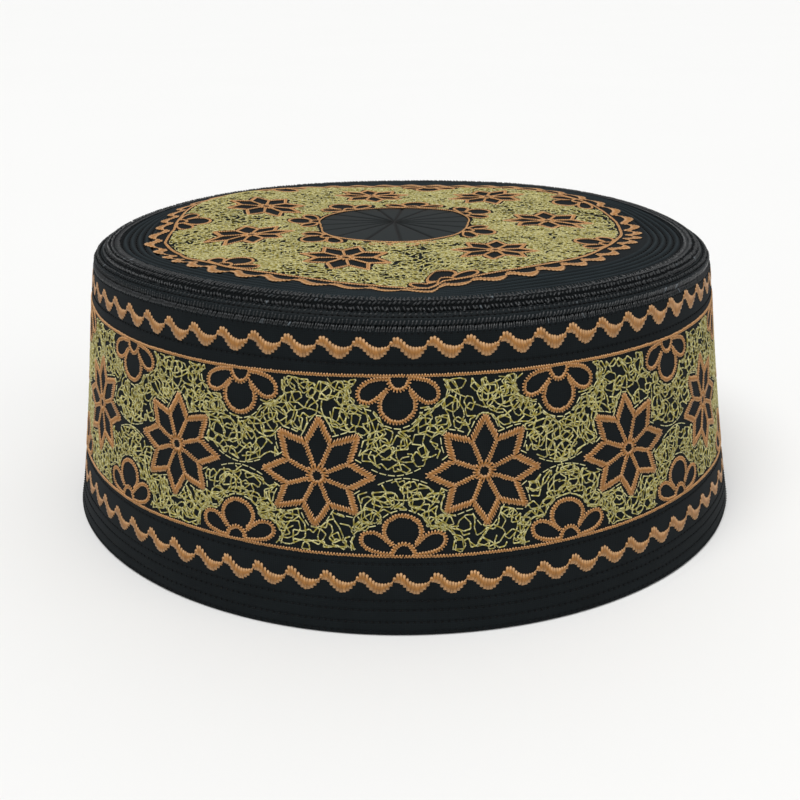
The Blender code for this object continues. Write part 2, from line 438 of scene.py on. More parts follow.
def crown_rise(share, angle):
    """The crown's height over its edge, at a share of the way out from the middle."""
    turned = np.degrees(angle)
    rise = CROWN_DOME * (1 - share * share)
    for swell in CROWN_SWELLS:
        round_the_cap = bell(turn_between(turned, swell["angle"]), swell["spread"])
        out_from_middle = bell(share - swell["at"], swell["reach"])
        edge = np.minimum((1 - share) / (1 - swell["at"]), 1.0)
        rise = rise + sizes().band_height * swell["rise"] * round_the_cap * out_from_middle * edge
    return rise


def crown_spot(flat, out=0.0):
    """A point of the crown's upper face, from its place on the flat round panel."""
    cap = sizes()
    inset, top = seam_places()["crown"]
    edge_x, edge_y = cap.hem_length / 2 - inset, cap.hem_width / 2 - inset
    share, angle = span(flat) / edge_x, pointing(flat)
    height = top + rim_lift(angle, top) * share * share + crown_rise(share, angle) + out
    return np.stack(np.broadcast_arrays(flat[..., 0], flat[..., 1] * edge_y / edge_x, height), axis=-1)


def run_out(gap, run):
    """How far out from the pattern's middle a table of the crown runs, this way from it."""
    return np.interp(np.degrees(pointing(gap)) % 360, *np.array(run).T) * MM


def crown_run(pattern):
    """Moves points of the drawn crown pattern to where the pulled cloth has them."""
    gap = pattern - CROWN_MIDDLE
    ring, fan = run_out(gap, RING_RUN) / RING_LINE, run_out(gap, FAN_RUN) / FAN_RADIUS
    share = smooth_share(span(gap), FAN_RADIUS, RING_LINE)
    return CROWN_MIDDLE + gap * (fan * (1 - share) + ring * share)[..., None]


def pattern_spot(flat, out=0.0):
    """A point of the crown's upper face, from its place in the drawn pattern."""
    return crown_spot(crown_run(flat), out)


def raised(spot, lift):
    """The function that places points this much higher over a surface."""
    def higher(flat, out=0.0):
        return spot(flat, out + lift)
    return higher


# Building meshes


def wrapped_grid(points, flat, hollow):
    """A closed skin over a grid of points, whose UV map is the flat cloth in metres; its attribute tells how
    deep in a channel each point lies, below 0 on the ridges, and the cloth's materials paint shade and light
    from it."""
    rows, columns = points.shape[0] - 1, points.shape[1] - 1
    mesh = bmesh.new()
    bmesh.ops.create_grid(mesh, x_segments=columns, y_segments=rows, size=1)
    cloth = mesh.loops.layers.uv.new("cloth")
    depth = mesh.verts.layers.float.new("hollow")
    places = {}
    for vert in mesh.verts:
        column = round((vert.co.x + 1) / 2 * columns)
        row = round((vert.co.y + 1) / 2 * rows)
        places[vert] = (row, column)
    for face in mesh.faces:
        for loop in face.loops:
            loop[cloth].uv = flat[places[loop.vert]]
    for vert, place in places.items():
        vert.co = points[place]
        vert[depth] = hollow[place]
    bmesh.ops.remove_doubles(mesh, verts=mesh.verts, dist=0.001 * MM)
    bmesh.ops.recalc_face_normals(mesh, faces=mesh.faces)
    return mesh


def finish_piece(name, mesh, materials, replaced=()):
    """Turns the mesh into a named piece of the cap."""
    data = mesh
    if isinstance(mesh, bmesh.types.BMesh):
        data = bpy.data.meshes.new(name)
        mesh.to_mesh(data)
        mesh.free()
    if not data.polygons:
        raise RuntimeError(f"{name} came out without faces")
    data.shade_smooth()
    for made in materials:
        data.materials.append(made)
    piece = bpy.data.objects.new(name, data)
    bpy.context.scene.collection.objects.link(piece)
    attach(piece, "root")
    if replaced:
        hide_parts(*replaced)
    return piece


def stitch_form():
    """A closed stitch with blunt ends: the station and the turn of each corner, and the
    faces. Its four stations are the two needle holes and the bends next to them."""
    mesh = bmesh.new()
    bmesh.ops.create_uvsphere(mesh, u_segments=3, v_segments=3, radius=1)
    bmesh.ops.triangulate(mesh, faces=mesh.faces)
    mesh.verts.index_update()
    station = np.array([round(math.acos(max(-1, min(1, -vert.co.z))) / math.pi * 3) for vert in mesh.verts])
    turn = np.array([math.atan2(vert.co.y, vert.co.x) + math.pi / 2 for vert in mesh.verts])
    faces = np.array([[vert.index for vert in face.verts] for face in mesh.faces])
    mesh.free()
    return station, turn, faces


def unit(vectors):
    """The vectors' directions."""
    return vectors / np.linalg.norm(vectors, axis=-1, keepdims=True)


def lay_stitches(name, spot, starts, ends, width, height, shades, rise=0.35):
    """Joined stitches from start to end on a surface, each a low arch of thread that
    rises this share of its height; shades tell them apart."""
    station, turn, faces = stitch_form()
    count = len(starts)
    width = np.broadcast_to(width, (count,))[:, None, None]
    height = np.broadcast_to(height, (count,))[:, None]
    # the four stations are needle hole, bend, bend and needle hole: a stitch bends over
    # next to its holes, and the holes lie a little in the cloth
    bend = 0.45 * np.minimum(width[:, 0], 0.6 * MM) / np.linalg.norm(ends - starts, axis=1)[:, None]
    bend = np.clip(bend, 0.03, 0.25)
    share = np.concatenate([0 * bend, bend, 1 - bend, 0 * bend + 1], axis=1)
    flat = starts[:, None, :] + (ends - starts)[:, None, :] * share[..., None]
    middle = spot(flat, height * (np.array([-0.15, rise, rise, -0.15])[None]))
    across, upward = np.array([0.05 * MM, 0.0]), np.array([0.0, 0.05 * MM])
    up = unit(np.cross(
        spot(flat + across) - spot(flat - across), spot(flat + upward) - spot(flat - upward)
    ))
    along = unit(np.gradient(middle, axis=1))
    side = unit(np.cross(up, along))
    body = np.where((station == 0) | (station == 3), 0.0, 0.5)
    corners = (
        middle[:, station]
        + side[:, station] * width * (np.cos(turn) * body)[None, :, None]
        + up[:, station] * height[..., None] * (np.sin(turn) * body)[None, :, None]
    )
    indices = faces[None] + (np.arange(count) * len(station))[:, None, None]
    mesh = bpy.data.meshes.new(name)
    mesh.vertices.add(count * len(station))
    mesh.vertices.foreach_set("co", corners.reshape(-1).astype(np.float32))
    mesh.loops.add(indices.size)
    mesh.loops.foreach_set("vertex_index", indices.reshape(-1).astype(np.int32))
    mesh.polygons.add(indices.size // 3)
    mesh.polygons.foreach_set("loop_start", np.arange(0, indices.size, 3, dtype=np.int32))
    mesh.update(calc_edges=True)
    # along tells the thread's material where the painted highlight at the bends and the painted shade at the
    # needle holes go
    places = np.array([0.0, 0.15, 0.85, 1.0])[station]
    for key, values in (("along", np.tile(places, count)), ("shade", np.repeat(shades, len(station)))):
        mesh.attributes.new(key, "FLOAT", "POINT").data.foreach_set("value", values.astype(np.float32))
    return mesh


# Drawing the pattern flat


def evenly(path, step, closed=False):
    """Points a step apart along a line of corners, and the line's direction at each."""
    path = np.asarray(path, dtype=float)
    if closed:
        path = np.vstack([path, path[:1]])
    lengths = np.concatenate(([0.0], np.cumsum(np.linalg.norm(np.diff(path, axis=0), axis=1))))
    count = max(2, round(lengths[-1] / step))
    at = (np.arange(count) + 0.5) * lengths[-1] / count
    points = np.stack([np.interp(at, lengths, path[:, k]) for k in range(2)], axis=1)
    index = np.clip(np.searchsorted(lengths, at) - 1, 0, len(path) - 2)
    return points, unit(path[index + 1] - path[index])


def smooth_line(corners, steps=6):
    """A curve through the corners, with this many points between two of them."""
    corners = np.asarray(corners, dtype=float)
    padded = np.vstack([2 * corners[0] - corners[1], corners, 2 * corners[-1] - corners[-2]])
    out = []
    for k in range(1, len(padded) - 2):
        before, here, after, later = padded[k - 1:k + 3]
        for share in np.arange(steps) / steps:
            out.append(0.5 * (
                2 * here + (after - before) * share
                + (2 * before - 5 * here + 4 * after - later) * share ** 2
                + (3 * here - before - 3 * after + later) * share ** 3
            ))
    return np.vstack(out + [padded[-2]])


def arc(middle, radius, start, end, corners=24):
    """Points on an arc between two angles in degrees."""
    turn = np.radians(np.linspace(start, end, corners))
    return np.array(middle) + radius * ray(turn)


def circle(radius):
    """Corners of a circle that the stitches close."""
    return arc((0, 0), radius, 0, 357, 120)


def zigzag(lows, highs, closed=False):
    """Stitches that go up and down between two rows of needle holes."""
    count = len(lows)
    turning = (np.arange(count) % 2 == 0)[:, None]
    holes = np.where(turning, lows, highs)
    if closed:
        holes = np.vstack([holes, holes[:1]])
    return holes[:-1], holes[1:]


def satin(path, width, random, slant=14.0, closed=False, lean=None):
    """Zigzag satin stitch along a line: the stitches' two ends, in millimetres."""
    points, direction = evenly(path, stitching().satin_pitch / MM, closed)
    across = np.stack([-direction[:, 1], direction[:, 0]], axis=1)
    if lean is None:
        tilt = math.radians(slant)
        stroke = across * math.cos(tilt) + direction * math.sin(tilt)
    else:
        outward = across * np.sign(np.sum(across * lean["outward"], axis=1))[:, None]
        stroke = unit(outward + lean["share"] * lean["axis"])
    low = points - stroke * width / 2 * random.uniform(0.85, 1.10, (len(points), 1))
    high = points + stroke * width / 2 * random.uniform(0.90, 1.25, (len(points), 1))
    return zigzag(low, high, closed)


def star_strokes(random, thin=1.0):
    """Stitches of one star, in millimetres round its middle."""
    strokes = []
    def at(radius, turn):
        return np.array([radius * math.cos(turn), radius * math.sin(turn)])
    step = 2 * math.pi / STAR_POINTS
    for k in range(STAR_POINTS):
        axis = at(1.0, k * step)
        tip = at(STAR_TIP - 0.6, k * step)
        for way in (-1, 1):
            notch = at(STAR_NOTCH, (k + way / 2) * step)
            outward = np.array([-axis[1], axis[0]]) * way
            lean = {"outward": outward, "axis": axis, "share": STAR_LEAN}
            strokes.append(satin([notch, tip], STAR_EDGE_WIDTH * thin, random, lean=lean))
        strokes.append((tip - axis * 1.3 + [[0, 0]], tip + axis * 0.6 + [[0, 0]]))
        turn = (k + 0.5) * step
        spoke = [at(STAR_RING + 0.3, turn), at(STAR_NOTCH + 0.3, turn)]
        strokes.append(satin(spoke, STAR_SPOKE_WIDTH * thin, random, slant=28 * (1 if k % 2 else -1)))
    strokes.append(satin(arc((0, 0), STAR_RING, 0, 345), STAR_RING_WIDTH, random, closed=True))
    return joined(strokes)


def flower_strokes(random, thin=1.0):
    """Stitches of one half flower, in millimetres over the middle of its line."""
    strokes = []
    for petal in PETALS:
        line = arc((0, 0), 1.0, petal["start"], petal["end"]) * (petal["wide"], petal["tall"])
        strokes.append(satin(line + petal["middle"], PETAL_WIDTH * thin, random))
    for way in (-1, 1):
        side = smooth_line(np.array(SIDE_PETAL) * (SIDE_PETAL_SHARE * way, 1))
        strokes.append(satin(side, SIDE_PETAL_WIDTH * thin, random))
    return joined(strokes)


def wave_strokes(pitch, random):
    """Stitches of one wave of this length, in millimetres from its first link."""
    count = stitching().wave_stitches
    at = (np.arange(count + 1)) / count
    table = {key: np.array([row[key] for row in WAVE]) for key in WAVE[0]}
    upper = np.interp(at, table["at"], table["upper"])
    lower = np.interp(at, table["at"], table["lower"])
    # where the wave is steep its stitches lean, so that they stay across it
    slope = np.gradient((upper + lower) / 2, at * pitch)
    fan = 0.08 * np.clip(slope, -1.3, 1.3) * (upper - lower) / 2
    jitter = random.uniform(-0.06, 0.06, (2, count + 1))
    lows = np.stack([at * pitch + fan, lower + jitter[0]], axis=1)
    highs = np.stack([at * pitch - fan, upper + jitter[1]], axis=1)
    return zigzag(lows, highs)


def joined(strokes):
    """All the starts and all the ends of several lots of stitches."""
    return np.vstack([s for s, _ in strokes]), np.vstack([e for _, e in strokes])


def turned(points, degrees):
    """Flat points turned round the origin."""
    turn = math.radians(degrees)
    spin = np.array([[math.cos(turn), -math.sin(turn)], [math.sin(turn), math.cos(turn)]])
    return points @ spin.T


def placed(strokes, move, degrees=0.0, flip=False, scale=1.0):
    """Strokes in millimetres, turned and moved to their place in metres."""
    out = []
    for points in strokes:
        points = points * (scale, -scale if flip else scale)
        out.append(turned(points, degrees) * MM + np.asarray(move))
    return out[0], out[1]


def star_places():
    """Middles of the band's stars, a little off half way between the half flowers."""
    count = stitching().stars
    pitch = round_length() / count
    return [np.array([(k + 0.5) * pitch - 0.3 * MM, STAR_HEIGHT]) for k in range(count)]


def flower_places():
    """Middles of the band's half flowers, and whether each hangs from the upper line: the
    upper ones stand a little to the left, the one at the front most of all."""
    count = stitching().stars
    pitch = round_length() / count
    rows = []
    for k in range(count):
        rows.append((np.array([k * pitch + 0.05 * MM, LOWER_LINE]), False))
        shift = -1.4 * MM if k == 0 else -0.7 * MM
        rows.append((np.array([k * pitch + shift, UPPER_LINE]), True))
    return rows


def polar(radius, degrees):
    """A place in the crown's pattern, from its middle."""
    turn = math.radians(degrees)
    return CROWN_MIDDLE + radius * np.array([math.cos(turn), math.sin(turn)])


# Running stitch between the ornaments


def star_edge(turn, margin):
    """How far from a star's middle its outline with a margin is, in millimetres: a smooth
    line over the notches that comes out towards the tips."""
    return 8.3 + margin + 3.6 * np.abs(np.cos(STAR_POINTS / 2 * turn)) ** 1.5


def flower_room(points, margin):
    """Whether points, in millimetres over a half flower's line, are clear of it: of the
    round big petal, the two long side petals and the small one between them."""
    x, y = np.abs(points[..., 0]), points[..., 1]
    big = np.hypot(x, y - 6.3) > 4.5 + margin
    side = np.hypot((x - 5.9) / (4.0 + margin), (y - 3.1) / (3.0 + margin)) > 1
    return big & side & (np.hypot(x / 3.4, y / 4.0) > 1)


class ThreadField:
    """A flat area in millimetres that running stitch loops over, off the ornaments: it is
    split in cells of this side, and the thread in it is counted in blocks of cells."""

    CELL = 0.25
    BLOCK = 6

    def __init__(self, low, high, wraps):
        """All of the area is free at first; one that wraps goes round the cap."""
        self.low, self.wraps = np.array(low), wraps
        self.count = np.ceil((np.array(high) - self.low) / self.CELL).astype(int)
        self.free = np.ones(self.count, dtype=bool)
        self.dense = np.zeros(self.count, dtype=bool)

    def around(self, middle, span):
        """Cells within a span of a place, and how they lie from it."""
        rows = []
        for k in range(2):
            first = int((middle[k] - span - self.low[k]) / self.CELL)
            cells = np.arange(first, first + int(2 * span / self.CELL))
            if k == 1 or not self.wraps:
                cells = cells[(cells >= 0) & (cells < self.count[k])]
            rows.append(cells)
        gap = np.stack(np.meshgrid(*[
            self.low[k] + (rows[k] + 0.5) * self.CELL - middle[k] for k in range(2)
        ], indexing="ij"), axis=-1)
        return np.ix_(rows[0] % self.count[0], rows[1]), gap

    def keep_off_star(self, middle, degrees, margin, scale=1.0):
        """Bars the cells of a star and its margin."""
        cells, gap = self.around(middle, 16)
        gap = gap / scale
        turn = pointing(gap) - math.radians(degrees)
        self.free[cells] &= span(gap) > star_edge(turn, margin)

    def keep_off_flower(self, middle, degrees, flip, margin, scale=1.0):
        """Bars the cells of a half flower; the garland round it is dense."""
        cells, gap = self.around(middle, 18)
        gap = turned(gap, -degrees) * (1, -1 if flip else 1) / scale
        self.free[cells] &= flower_room(gap, margin)
        self.dense[cells] |= ~flower_room(gap, margin + 3.0)

    def plan(self, random):
        """Readies the counts that keep the thread even; flowers get more of it."""
        edge = -self.count % self.BLOCK
        def blocks(cells):
            full = np.pad(cells.astype(float), ((0, edge[0]), (0, edge[1])))
            wide, tall = np.array(full.shape) // self.BLOCK
            return full.reshape(wide, self.BLOCK, tall, self.BLOCK).mean(axis=(1, 3))
        self.want = blocks(self.free) + 1.6 * blocks(self.free & self.dense)
        self.used = random.uniform(0, 0.3, self.want.shape)

    def cell(self, point):
        """The cell that a point lies in."""
        x, y = ((point - self.low) / self.CELL).astype(int)
        return (x % self.count[0] if self.wraps else x), y

    def open(self, point):
        """Whether thread may cross a point."""
        x, y = self.cell(point)
        return 0 <= x < self.count[0] and 0 <= y < self.count[1] and self.free[x, y]

    def crowd(self, point):
        """How full of thread a point's block is."""
        x, y = self.cell(point)
        block = x // self.BLOCK, y // self.BLOCK
        return self.used[block] / max(self.want[block], 0.05)

    def start(self, random):
        """A free place where there is least thread so far."""
        bare = np.where(self.want > 0.12, self.used / np.maximum(self.want, 0.12), np.inf)
        x, y = np.unravel_index(np.argmin(bare), bare.shape)
        self.used[x, y] += 0.3
        for _ in range(12):
            point = self.low + (np.array([x, y]) + random.random(2)) * self.BLOCK * self.CELL
            if self.open(point):
                return point
        return None

    def loops(self, total, step, random):
        """Lines of loops, as many stitches as asked for: each one's two ends, and
        whether it lies in a garland."""
        rows, garland = [], []
        while len(rows) < total:
            point = self.start(random)
            if point is None:
                continue
            heading, way = random.uniform(0, 2 * math.pi), random.choice((-1, 1))
            for _ in range(random.integers(6, 18)):
                if random.random() < 0.16:
                    way = -way
                tries = []
                for attempt in range(9):
                    bend = way * math.radians(random.uniform(5, 105))
                    if attempt > 4:
                        bend = random.uniform(-math.pi, math.pi)
                    long = step * random.uniform(0.6, 1.35)
                    turn = heading + bend
                    end = point + long * np.array([math.cos(turn), math.sin(turn)])
                    if self.open(end) and self.open((point + end) / 2):
                        tries.append((self.crowd(end) + random.uniform(0, 0.7), turn, end))
                    if len(tries) > 2:
                        break
                if not tries:
                    break
                _, heading, end = min(tries, key=lambda row: row[0])
                x, y = self.cell(end)
                self.used[x // self.BLOCK, y // self.BLOCK] += 1
                rows.append((point, end))
                garland.append(self.dense[x, y])
                point = end
        rows = np.array(rows)
        nip = -0.03 * (rows[:, 1] - rows[:, 0])
        return rows[:, 0] + nip, rows[:, 1] - nip, np.array(garland)


def dashes(path, step, gap, closed=False):
    """Running stitches along a line: each one's two ends."""
    points, direction = evenly(path, step, closed)
    half = (step - gap) / 2
    return points - direction * half, points + direction * half


def outline(path):
    """The running stitches that outline an ornament."""
    return dashes(path, *OUTLINE_STITCH)


def star_halos():
    """The running stitch lines that follow a star, in millimetres: they leave its two
    side tips free."""
    rows = []
    for start in (17, 197):
        turn = np.radians(np.arange(start, start + 147, 5.0))
        rows.append(star_edge(turn, 1.4)[:, None] * ray(turn))
    return rows


def flower_halo():
    """The running stitch line that follows a half flower, in millimetres."""
    half = np.array([
        (10.9, 0.8), (11.1, 3.2), (10.3, 5.6), (8.4, 7.1), (6.3, 7.5), (5.2, 8.4), (4.4, 9.6), (2.6, 10.9),
        (0.0, 11.6),
    ])
    return smooth_line(np.vstack([half, half[-2::-1] * (-1, 1)]), 4)


# Materials


def linear(hex_colour):
    """The linear colour of an sRGB hex value."""
    parts = [int(hex_colour[k:k + 2], 16) / 255 for k in (1, 3, 5)]
    return tuple(p / 12.92 if p <= 0.04045 else ((p + 0.055) / 1.055) ** 2.4 for p in parts) + (1.0,)


def dyed(colour, times=1.0):
    """A colour made this many times as bright, as a shader takes it."""
    return tuple(min(1.0, times * c) for c in colour[:3]) + (1.0,)


def add_node(tree, kind, inputs=(), **settings):
    """Adds a node with its settings; an input is a value or the socket that feeds it."""
    made = tree.nodes.new(kind)
    for key, value in settings.items():
        setattr(made, key, value)
    for key, value in dict(inputs).items():
        if isinstance(value, bpy.types.NodeSocket):
            tree.links.new(value, made.inputs[key])
        else:
            made.inputs[key].default_value = value
    return made


def new_material(name):
    """An empty material and its nodes."""
    made = bpy.data.materials.new(name)
    made.use_nodes = True
    made.node_tree.nodes.clear()
    return made, made.node_tree


def shade_with(tree, **sockets):
    """Ends a material with a Principled shader that has these inputs."""
    named = {key.replace("_", " "): value for key, value in sockets.items()}
    shader = add_node(tree, "ShaderNodeBsdfPrincipled", named)
    add_node(tree, "ShaderNodeOutputMaterial", {"Surface": shader.outputs["BSDF"]})


def wave_scale(spacing):
    """Scale of a Wave texture whose bands lie this far apart, in metres."""
    return math.pi / (10 * spacing)


def noise_scale(size):
    """Scale of a Noise texture whose patches are about this large, in metres."""
    return 1 / size


def paint_channel_shade_and_ridge_light(tree, colour):
    """A cloth's colour with painted shade down in the stitched channels and painted light on the ridges
    between them."""
    hollow = add_node(tree, "ShaderNodeAttribute", attribute_name="hollow")
    light = add_node(
        tree, "ShaderNodeMapRange",
        {"Value": hollow.outputs["Fac"], "From Min": -2.4, "From Max": 1.0, "To Min": 3.68, "To Max": 0.10},
    )
    shaded = add_node(
        tree, "ShaderNodeVectorMath", {0: colour, "Scale": light.outputs["Result"]}, operation="SCALE"
    )
    return shaded.outputs["Vector"]


def woven_cotton(name, colour, spacing, roughness, depth):
    """Plain woven black cotton: matt, with a fine over-and-under thread grid that
    catches a little light and small uneven patches from handling. The real threads are
    0.25 mm apart and are drawn coarser, so that they still show in the picture."""
    made, tree = new_material(name)
    cloth = add_node(tree, "ShaderNodeUVMap", uv_map="cloth")
    space = add_node(tree, "ShaderNodeTexCoord")
    warp, weft = (
        add_node(
            tree, "ShaderNodeTexWave",
            {"Vector": cloth.outputs["UV"], "Scale": wave_scale(spacing), "Distortion": 0.6, "Detail": 1.0},
            wave_type="BANDS", bands_direction=way,
        ) for way in "XY"
    )
    weave = add_node(
        tree, "ShaderNodeMath", {0: warp.outputs["Fac"], 1: weft.outputs["Fac"]}, operation="MAXIMUM"
    )
    patches = add_node(
        tree, "ShaderNodeTexNoise",
        {"Vector": space.outputs["Object"], "Scale": noise_scale(6.25 * MM), "Detail": 5.0},
    )
    tone = add_node(
        tree, "ShaderNodeMix",
        {"Factor": patches.outputs["Fac"], "A": dyed(colour, 0.6), "B": dyed(colour, 1.6)}, data_type="RGBA",
    )
    threads = add_node(
        tree, "ShaderNodeMix",
        {"Factor": weave.outputs["Value"], "A": dyed(colour, 0.5), "B": tone.outputs["Result"]},
        data_type="RGBA",
    )
    bump = add_node(
        tree, "ShaderNodeBump", {"Height": weave.outputs["Value"], "Strength": 0.55, "Distance": depth}
    )
    # painted shade in the channels and painted light on the ridges, read from the hollow attribute
    shaded = paint_channel_shade_and_ridge_light(tree, threads.outputs["Result"])
    shade_with(
        tree, Base_Color=shaded, Roughness=roughness, Specular_IOR_Level=0.12, Sheen_Weight=0.02,
        Sheen_Roughness=0.5, Sheen_Tint=linear("#C3CBDA"), Normal=bump.outputs["Normal"],
    )
    return made


def embroidery_thread(name, body, tip, painted_hole_shade, roughness, specular, pale=None, few=0.0):
    """Twisted viscose thread: painted shade at the needle holes in the dips between stitches, a painted
    highlight, brighter and silkier, where each stitch bends over, each stitch a slightly different tone. The
    stitches of the highest shades are paler."""
    made, tree = new_material(name)
    along = add_node(tree, "ShaderNodeAttribute", attribute_name="along")
    shade = add_node(tree, "ShaderNodeAttribute", attribute_name="shade")
    # the colour along each stitch: painted shade at its needle holes, a painted highlight at its bends
    arch = add_node(tree, "ShaderNodeValToRGB", {"Fac": along.outputs["Fac"]})
    ramp = arch.color_ramp
    ramp.elements[0].position, ramp.elements[0].color = 0.02, painted_hole_shade
    ramp.elements[1].position, ramp.elements[1].color = 0.98, painted_hole_shade
    for place, colour in ((0.14, tip), (0.42, body), (0.58, body), (0.86, tip)):
        ramp.elements.new(place).color = colour
    tone = add_node(
        tree, "ShaderNodeMapRange", {"Value": shade.outputs["Fac"], "To Min": 0.78, "To Max": 1.36}
    )
    colour = add_node(
        tree, "ShaderNodeVectorMath", {0: arch.outputs["Color"], "Scale": tone.outputs["Result"]},
        operation="SCALE",
    )
    toned = colour.outputs["Vector"]
    if pale:
        paler = add_node(
            tree, "ShaderNodeMapRange", {"Value": shade.outputs["Fac"], "From Min": few, "From Max": 1.0}
        )
        mixed = add_node(
            tree, "ShaderNodeMix", {"Factor": paler.outputs["Result"], "A": toned, "B": pale},
            data_type="RGBA",
        )
        toned = mixed.outputs["Result"]
    space = add_node(tree, "ShaderNodeTexCoord")
    # fibres of the thread, drawn a sixth of a millimetre thick so that they show
    fibres = add_node(
        tree, "ShaderNodeTexNoise",
        {"Vector": space.outputs["Object"], "Scale": noise_scale(MM / 6), "Detail": 2.0},
    )
    bump = add_node(
        tree, "ShaderNodeBump", {"Height": fibres.outputs["Fac"], "Strength": 0.25, "Distance": 0.05 * MM}
    )
    shade_with(
        tree, Base_Color=toned, Roughness=roughness, Specular_IOR_Level=specular,
        Sheen_Weight=0.03, Sheen_Roughness=0.4, Normal=bump.outputs["Normal"],
    )
    return made


def satin_cotton(name, colour):
    """Black satin cotton of the fan: smoother and greyer than the rest, with a soft
    wide highlight. Its floats are drawn 0.5 mm apart, coarser than they are, so that they
    catch the light as one sheen and no thread grid shows."""
    made, tree = new_material(name)
    cloth = add_node(tree, "ShaderNodeUVMap", uv_map="cloth")
    warp = add_node(
        tree, "ShaderNodeTexWave",
        {"Vector": cloth.outputs["UV"], "Scale": wave_scale(0.5 * MM), "Distortion": 1.0},
        wave_type="BANDS", bands_direction="Y",
    )
    bump = add_node(
        tree, "ShaderNodeBump", {"Height": warp.outputs["Fac"], "Strength": 0.3, "Distance": 0.02 * MM}
    )
    space = add_node(tree, "ShaderNodeTexCoord")
    patches = add_node(
        tree, "ShaderNodeTexNoise",
        {"Vector": space.outputs["Object"], "Scale": noise_scale(8.333 * MM), "Detail": 3.0},
    )
    tone = add_node(
        tree, "ShaderNodeMix",
        {"Factor": patches.outputs["Fac"], "A": dyed(colour, 0.85), "B": dyed(colour, 1.15)},
        data_type="RGBA",
    )
    # painted shade along the fan's pressed lines and edge and painted light between them, read from the
    # hollow attribute
    shade_with(
        tree, Base_Color=paint_channel_shade_and_ridge_light(tree, tone.outputs["Result"]), Roughness=0.5, Specular_IOR_Level=0.12,
        Sheen_Weight=0.015, Sheen_Roughness=0.4, Normal=bump.outputs["Normal"],
    )
    return made


def studio_paper(colour):
    """Matt background paper: even, with the faintest mottling."""
    made, tree = new_material("Matt_studio_paper")
    space = add_node(tree, "ShaderNodeTexCoord")
    mottle = add_node(
        tree, "ShaderNodeTexNoise",
        {"Vector": space.outputs["Object"], "Scale": noise_scale(1 / 3), "Detail": 2.0},
    )
    tone = add_node(
        tree, "ShaderNodeMix",
        {"Factor": mottle.outputs["Fac"], "A": dyed(colour, 0.985), "B": dyed(colour)},
        data_type="RGBA",
    )
    shade_with(tree, Base_Color=tone.outputs["Result"], Roughness=0.9, Specular_IOR_Level=0.1)
    return made


def material(key):
    """The cap's material of this kind, made the first time it is asked for: a cloth has its colour, thread
    spacing, roughness and depth of weave, a thread its body, its painted highlight at the bends and painted
    shade at the needle holes, roughness and gloss, the colour of its palest stitches, and the shade they
    start at."""
    palette = bpy.context.scene.kufi_colours
    cloth, black, copper, green = palette.cloth, palette.black_thread, palette.copper, palette.green
    kinds = {
        # plain cotton of band and crown: matt, blue black
        "cloth": ("Woven_black_cotton", woven_cotton, (dyed(cloth), 0.50 * MM, 0.82, 0.06 * MM)),
        # cotton under the overcasting: the cloth's colour halved as painted shade, only a darker ground
        # between the stitches
        "core": ("Black_cotton_filling", woven_cotton, (dyed(cloth, 0.5), 0.60 * MM, 0.9, 0.06 * MM)),
        # cotton pressed round the roll: smoother, and paler than the band's cloth as painted light where it
        # bends
        "roll": ("Folded_black_cotton", woven_cotton, (dyed(cloth, 1.2), 0.45 * MM, 0.62, 0.05 * MM)),
        # satin of the fan: greyer, with a soft sheen
        "fan": ("Black_satin_cotton", satin_cotton, (dyed(palette.fan),)),
        # glossy twisted thread of the seam: black with a painted highlight at the bends and painted shade at
        # the needle holes; a few stitches painted pale grey as small bright glints
        "thread": ("Black_viscose_thread", embroidery_thread, (
            dyed(black), dyed(black, 1.6), dyed(black, 0.3), 0.34, 0.6, dyed(black, 14), 0.985,
        )),
        # the same thread pulled down into the channels, its colour darkened as painted shade: a dull dark
        # line
        "sunk": ("Sunk_black_thread", embroidery_thread, (
            dyed(black, 0.30), dyed(black, 0.4), dyed(black, 0.15), 0.8, 0.08,
        )),
        # satin stitch: warm orange brown, with a painted highlight at the bends and painted shade at the
        # needle holes
        "copper": ("Copper_viscose_thread", embroidery_thread, (
            dyed(copper), dyed(palette.copper_bend_highlight), dyed(copper, 0.30), 0.42, 0.4,
        )),
        # running stitch: yellow green with a painted highlight at the bends and painted shade at the needle
        # holes, the stitches round the ornaments almost straw
        "green": ("Green_viscose_thread", embroidery_thread, (
            dyed(green), dyed(palette.green_pale_and_bend_highlight), dyed(green, 0.40), 0.45, 0.35,
            dyed(palette.green_pale_and_bend_highlight), 0.55,
        )),
    }
    name, make, looks = kinds[key]
    return bpy.data.materials.get(name) or make(name, *looks)


# The pieces


def grooves(height, width, depth):
    """How deep the quilting rows pull the band in at this height."""
    return sum(depth * np.exp(-((height - row) / width) ** 2) for row in BAND_ROWS)


def rounded(inset, way, height, up, radius, degrees, outside):
    """Corners of the band's section where it is rounded off."""
    return [
        (inset + way * radius * (1 - math.cos(t)), height + up * radius * (1 - math.sin(t)), outside)
        for t in np.radians(degrees)
    ]


